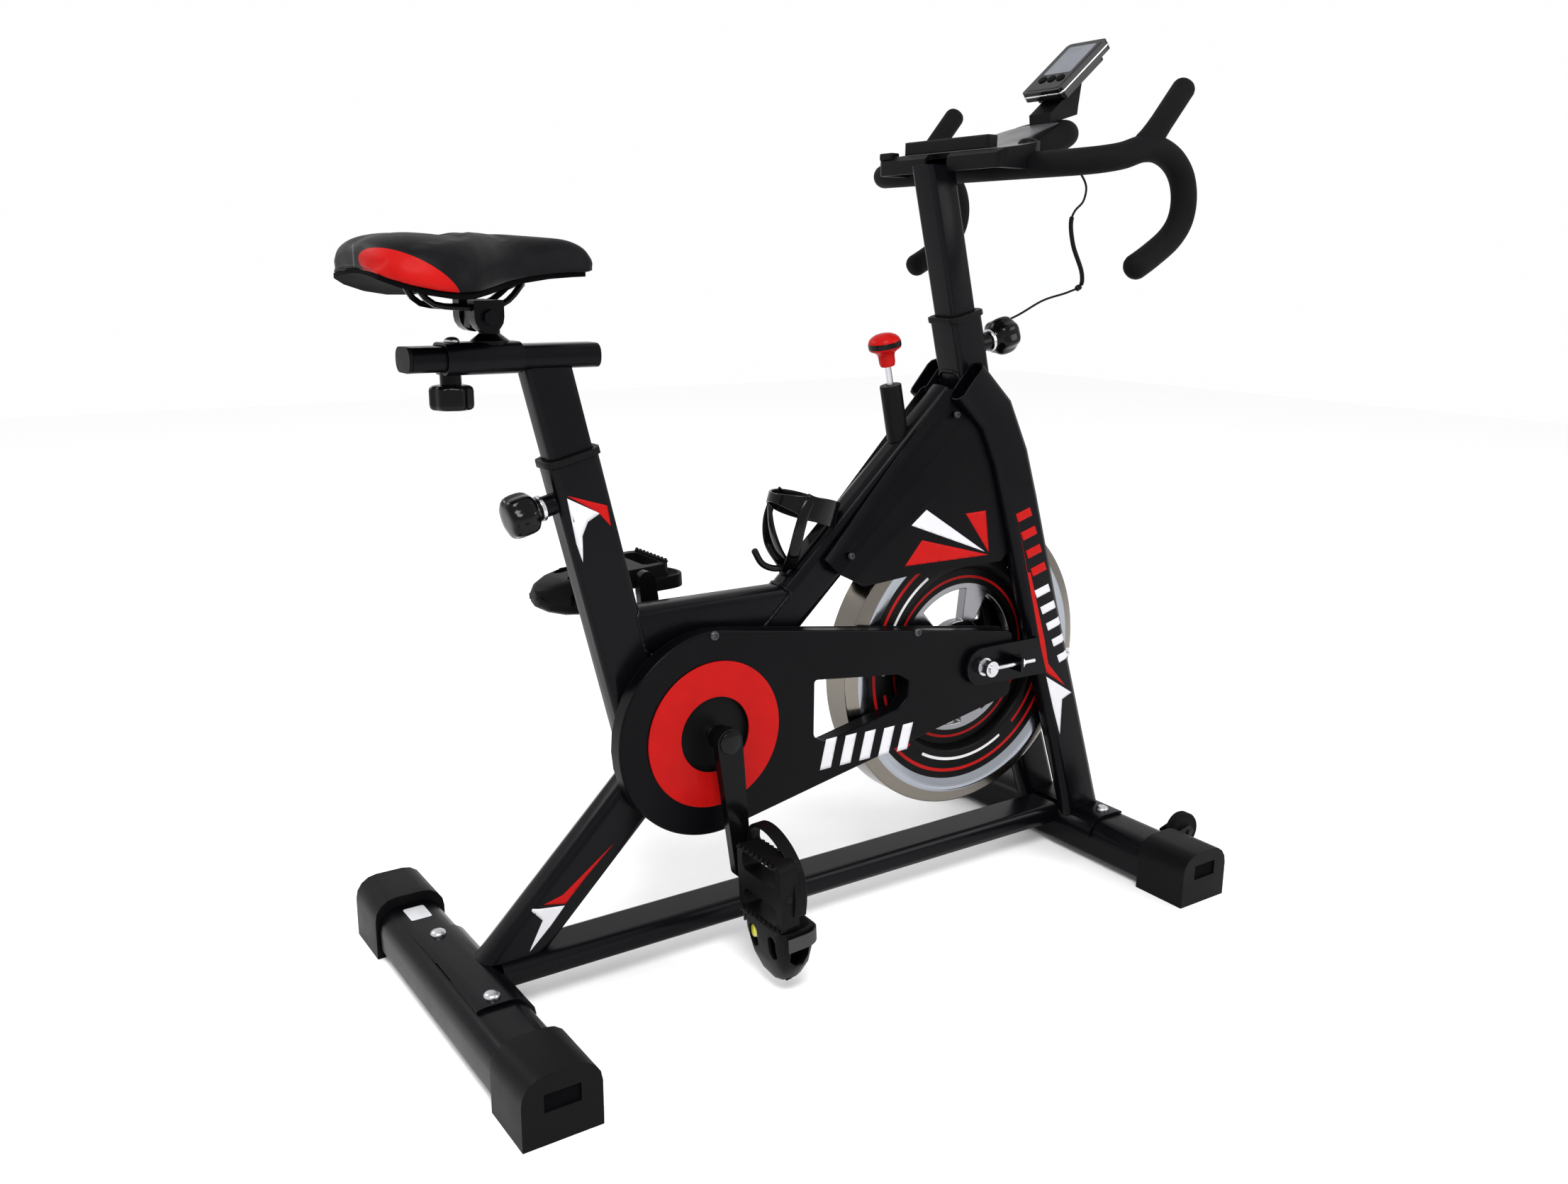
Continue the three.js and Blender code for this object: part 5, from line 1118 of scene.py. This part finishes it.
def make_pedals():
    """The pedals' finish, their rows of teeth, a yellow mark on each, and a toe strap and heel loop."""
    dress(["pedal_right", "pedal_left", "toe_cage_right", "toe_cage_left"], "plastic", 0.0010)
    pedals = (
        ("right", -1, mm(-159.03, -87, 136.1), Vector((0.06, 0, -0.998)), Vector((0.998, 0, 0.06))),
        ("left", 1, mm(-196.97, 87, 463.9), Vector((-0.998, 0, -0.06)), Vector((0.06, 0, -0.998))),
    )
    for name, side, origin, toe, foot in pedals:
        body = f"{name}_pedal"
        out = Vector((0, side, 0))

        def at(x, y, z, o=origin, t=toe, u=out, f=foot):
            return o + (t * x + u * y + f * z) / 1000

        bm = bmesh.new()
        for edge in (-40.5, 40.5):
            for k in range(9):
                for face in (-1, 1):
                    base = at(edge, 14 + k * 9.5, face * 11.6)
                    tip = at(edge, 14 + k * 9.5, face * 16.6)
                    add_stud(bm, base, tip, 0.0030, 0.0012)
        teeth = mesh_from(bm, f"{name}_pedal_teeth")
        piece(f"{name}_pedal_teeth", teeth, "plastic", body)
        mark = [at(66 + 8 * math.cos(a), 30 + 6 * math.sin(a), -8.6) for a in
                (2 * math.pi * i / 28 for i in range(28))]
        back = [p - foot * 0.0006 for p in mark]
        piece(f"{name}_sole_mark", loft(f"{name}_sole_mark", [mark, back]), "yellow", body)
        over = [(57, 3.5, -6), (57, 3.2, 8), (57, 4.5, 28), (57, 14, 39.5), (57, 34, 40.8), (57, 52, 41),
                (57, 70, 40.8), (57, 90, 39.5), (57, 99.5, 28), (57, 100.8, 8), (57, 100.5, -6)]
        heel = [(8, 6, 12), (-24, 5, 12.5), (-50, 6, 13), (-60, 14, 13.5), (-64, 30, 14), (-61, 50, 14.5),
                (-48, 74, 15), (-26, 93, 15), (2, 99, 14), (24, 98, 12)]
        for label, route, flat, thick, finish, rounding in (
            ("toe", over, toe, 0.0008, "strap", 0.0003),
            ("heel", heel, foot, 0.0022, "plastic", 0.0012),
        ):
            section = rectangle(STRAP_HALF_WIDTH, thick)
            path = smooth_path([at(*p) for p in route], 5)
            rings = []
            for p, ahead in zip(path, headings(path)):
                across = square_to(flat, ahead)
                outward = across.cross(ahead)
                rings.append([p + across * a + outward * b for a, b in section])
            label = f"{name}_{label}_strap"
            soften(piece(label, loft(label, rings), finish, body), rounding, 50)


def add_stud(bm, base, tip, wide, narrow):
    """A four-sided tapered tooth."""
    axis = (tip - base).normalized()
    a = axis.orthogonal().normalized()
    b = axis.cross(a)
    corners = ((1, 1), (-1, 1), (-1, -1), (1, -1))
    low = [bm.verts.new(base + a * i * wide + b * j * wide) for i, j in corners]
    high = [bm.verts.new(tip + a * i * narrow + b * j * narrow) for i, j in corners]
    bm.faces.new(high)
    bm.faces.new(low[::-1])
    for k in range(4):
        n = (k + 1) % 4
        bm.faces.new([low[k], low[n], high[n], high[k]])


# ---------------------------------------------------------------- transport wheels and small hardware
def make_wheels():
    tread = [(4.3, -10), (12, -10), (13, -9), (20, -9), (22, -9.6), (24.5, -8), (26, -5.4), (26, -2.2),
             (25.2, -1.6),
             (25.2, 1.6), (26, 2.2), (26, 5.4), (24.5, 8), (22, 9.6), (20, 9), (13, 9), (12, 10), (4.3, 10)]
    for name, side in SIDES:
        turned(f"roller_{name}", tread, (0, 1, 0), mm(533, side * 174, 54), "rubber",
               f"{name}_transport_wheel", sides=64, replaces=[f"transport_wheel_{name}"], slot="rubber")


PLATE_TOP = 66.8
SHADE_PLATE_INSET = 3.2


def make_frame():
    """The finishes of the frame's own tubes and fittings."""
    dress(["seat_tube", "head_tube", "seat_post", "handlebar_post", "keel_tube", "rear_strut", "down_tube",
           "top_tube", "bottom_bracket_shell", "fork_leg_right", "fork_leg_left", "seat_beam",
           "saddle_sleeve", "rear_stabilizer", "front_stabilizer"], "paint", 0.0008)
    dress(["rear_joint_plate", "front_joint_plate"], "paint", 0.0010)
    dress(["beam_plug"], "plastic", 0.0045)
    dress(["seat_tube_collar", "head_tube_collar", "crank_pulley", "belt_cover_inner"], "plastic",
          0.0010)
    dress(["rear_foot_cap_right", "rear_foot_cap_left", "front_foot_cap_right", "front_foot_cap_left"],
          "plastic", 0.0030)
    dress(["shroud_right", "shroud_left"], "shell", 0.0008)
    dress(["crank_arm_right", "crank_arm_left"], "crank", 0.0020)
    dress(["flywheel_axle", "crank_spindle"], "steel", 0.0004)
    dress(["drive_belt"], "rubber", 0.0004)
    turned("sleeve_bolt", [(2.2, 0), (7.6, 0), (8.2, 1.2), (7.6, 3.4), (5, 5.2), (2.4, 5.9), (0.5, 6)],
           (0, 0, 1), mm(-458, 0, 761), "steel", "saddle_slider", sides=40)
    for name, side in SIDES:
        turned(f"crank_cap_{name}", [(1, 0), (13.6, 0), (14.2, 0.8), (13.6, 2.4), (9, 3.6), (1, 3.9)],
               (0, side, 0), mm(-178, side * 86.6, 300), "gloss", "crankset", sides=48)
        for k, (x, z) in enumerate(((191, 657), (26, 491))):
            screw(f"shroud_screw_{name}_{k}", mm(x, side * 42.2, z) if k else mm(x, side * 41.2, z),
                  (0, side, 0), "frame", 5.4)
    dome = [(8, 0), (9.2, 0.2), (9.2, 2.8), (8.3, 4.3), (6.2, 5.7), (3.4, 6.5), (0.5, 6.8)]
    for name, foot, end in (("rear", -480, 263), ("front", 466, 271)):
        for hand, side in SIDES:
            turned(f"{name}_joint_bolt_{hand}", dome, (0, 0, 1), mm(foot, side * 83, PLATE_TOP), "steel",
                   "frame", sides=48)
            # A dark plate in each foot cap's recess: painted shade standing in for the shadowed hole.
            block(f"{name}_cap_shade_plate_{hand}", Matrix.Translation(mm(foot, side * (end - SHADE_PLATE_INSET), 46)),
                  (0, 0, 0), (39, 1.2, 19), "shade", "frame", 0.12)
    label = plate_mesh("foot_label", rounded(26, 34, 3), [], 0.6, 0.15)
    label.transform(Matrix.Translation(mm(-480, 156, 63.7)))
    piece("foot_label", label, "label", "frame")


MATERIALS = make_materials()
make_camera()
make_stage()
make_cable()
make_saddle()
make_frame()
make_flywheel()
make_cover()
make_knobs()
make_brake()
make_bottle_cage()
make_handlebar()
make_cockpit()
make_decals()
make_welds()
make_pedals()
make_wheels()
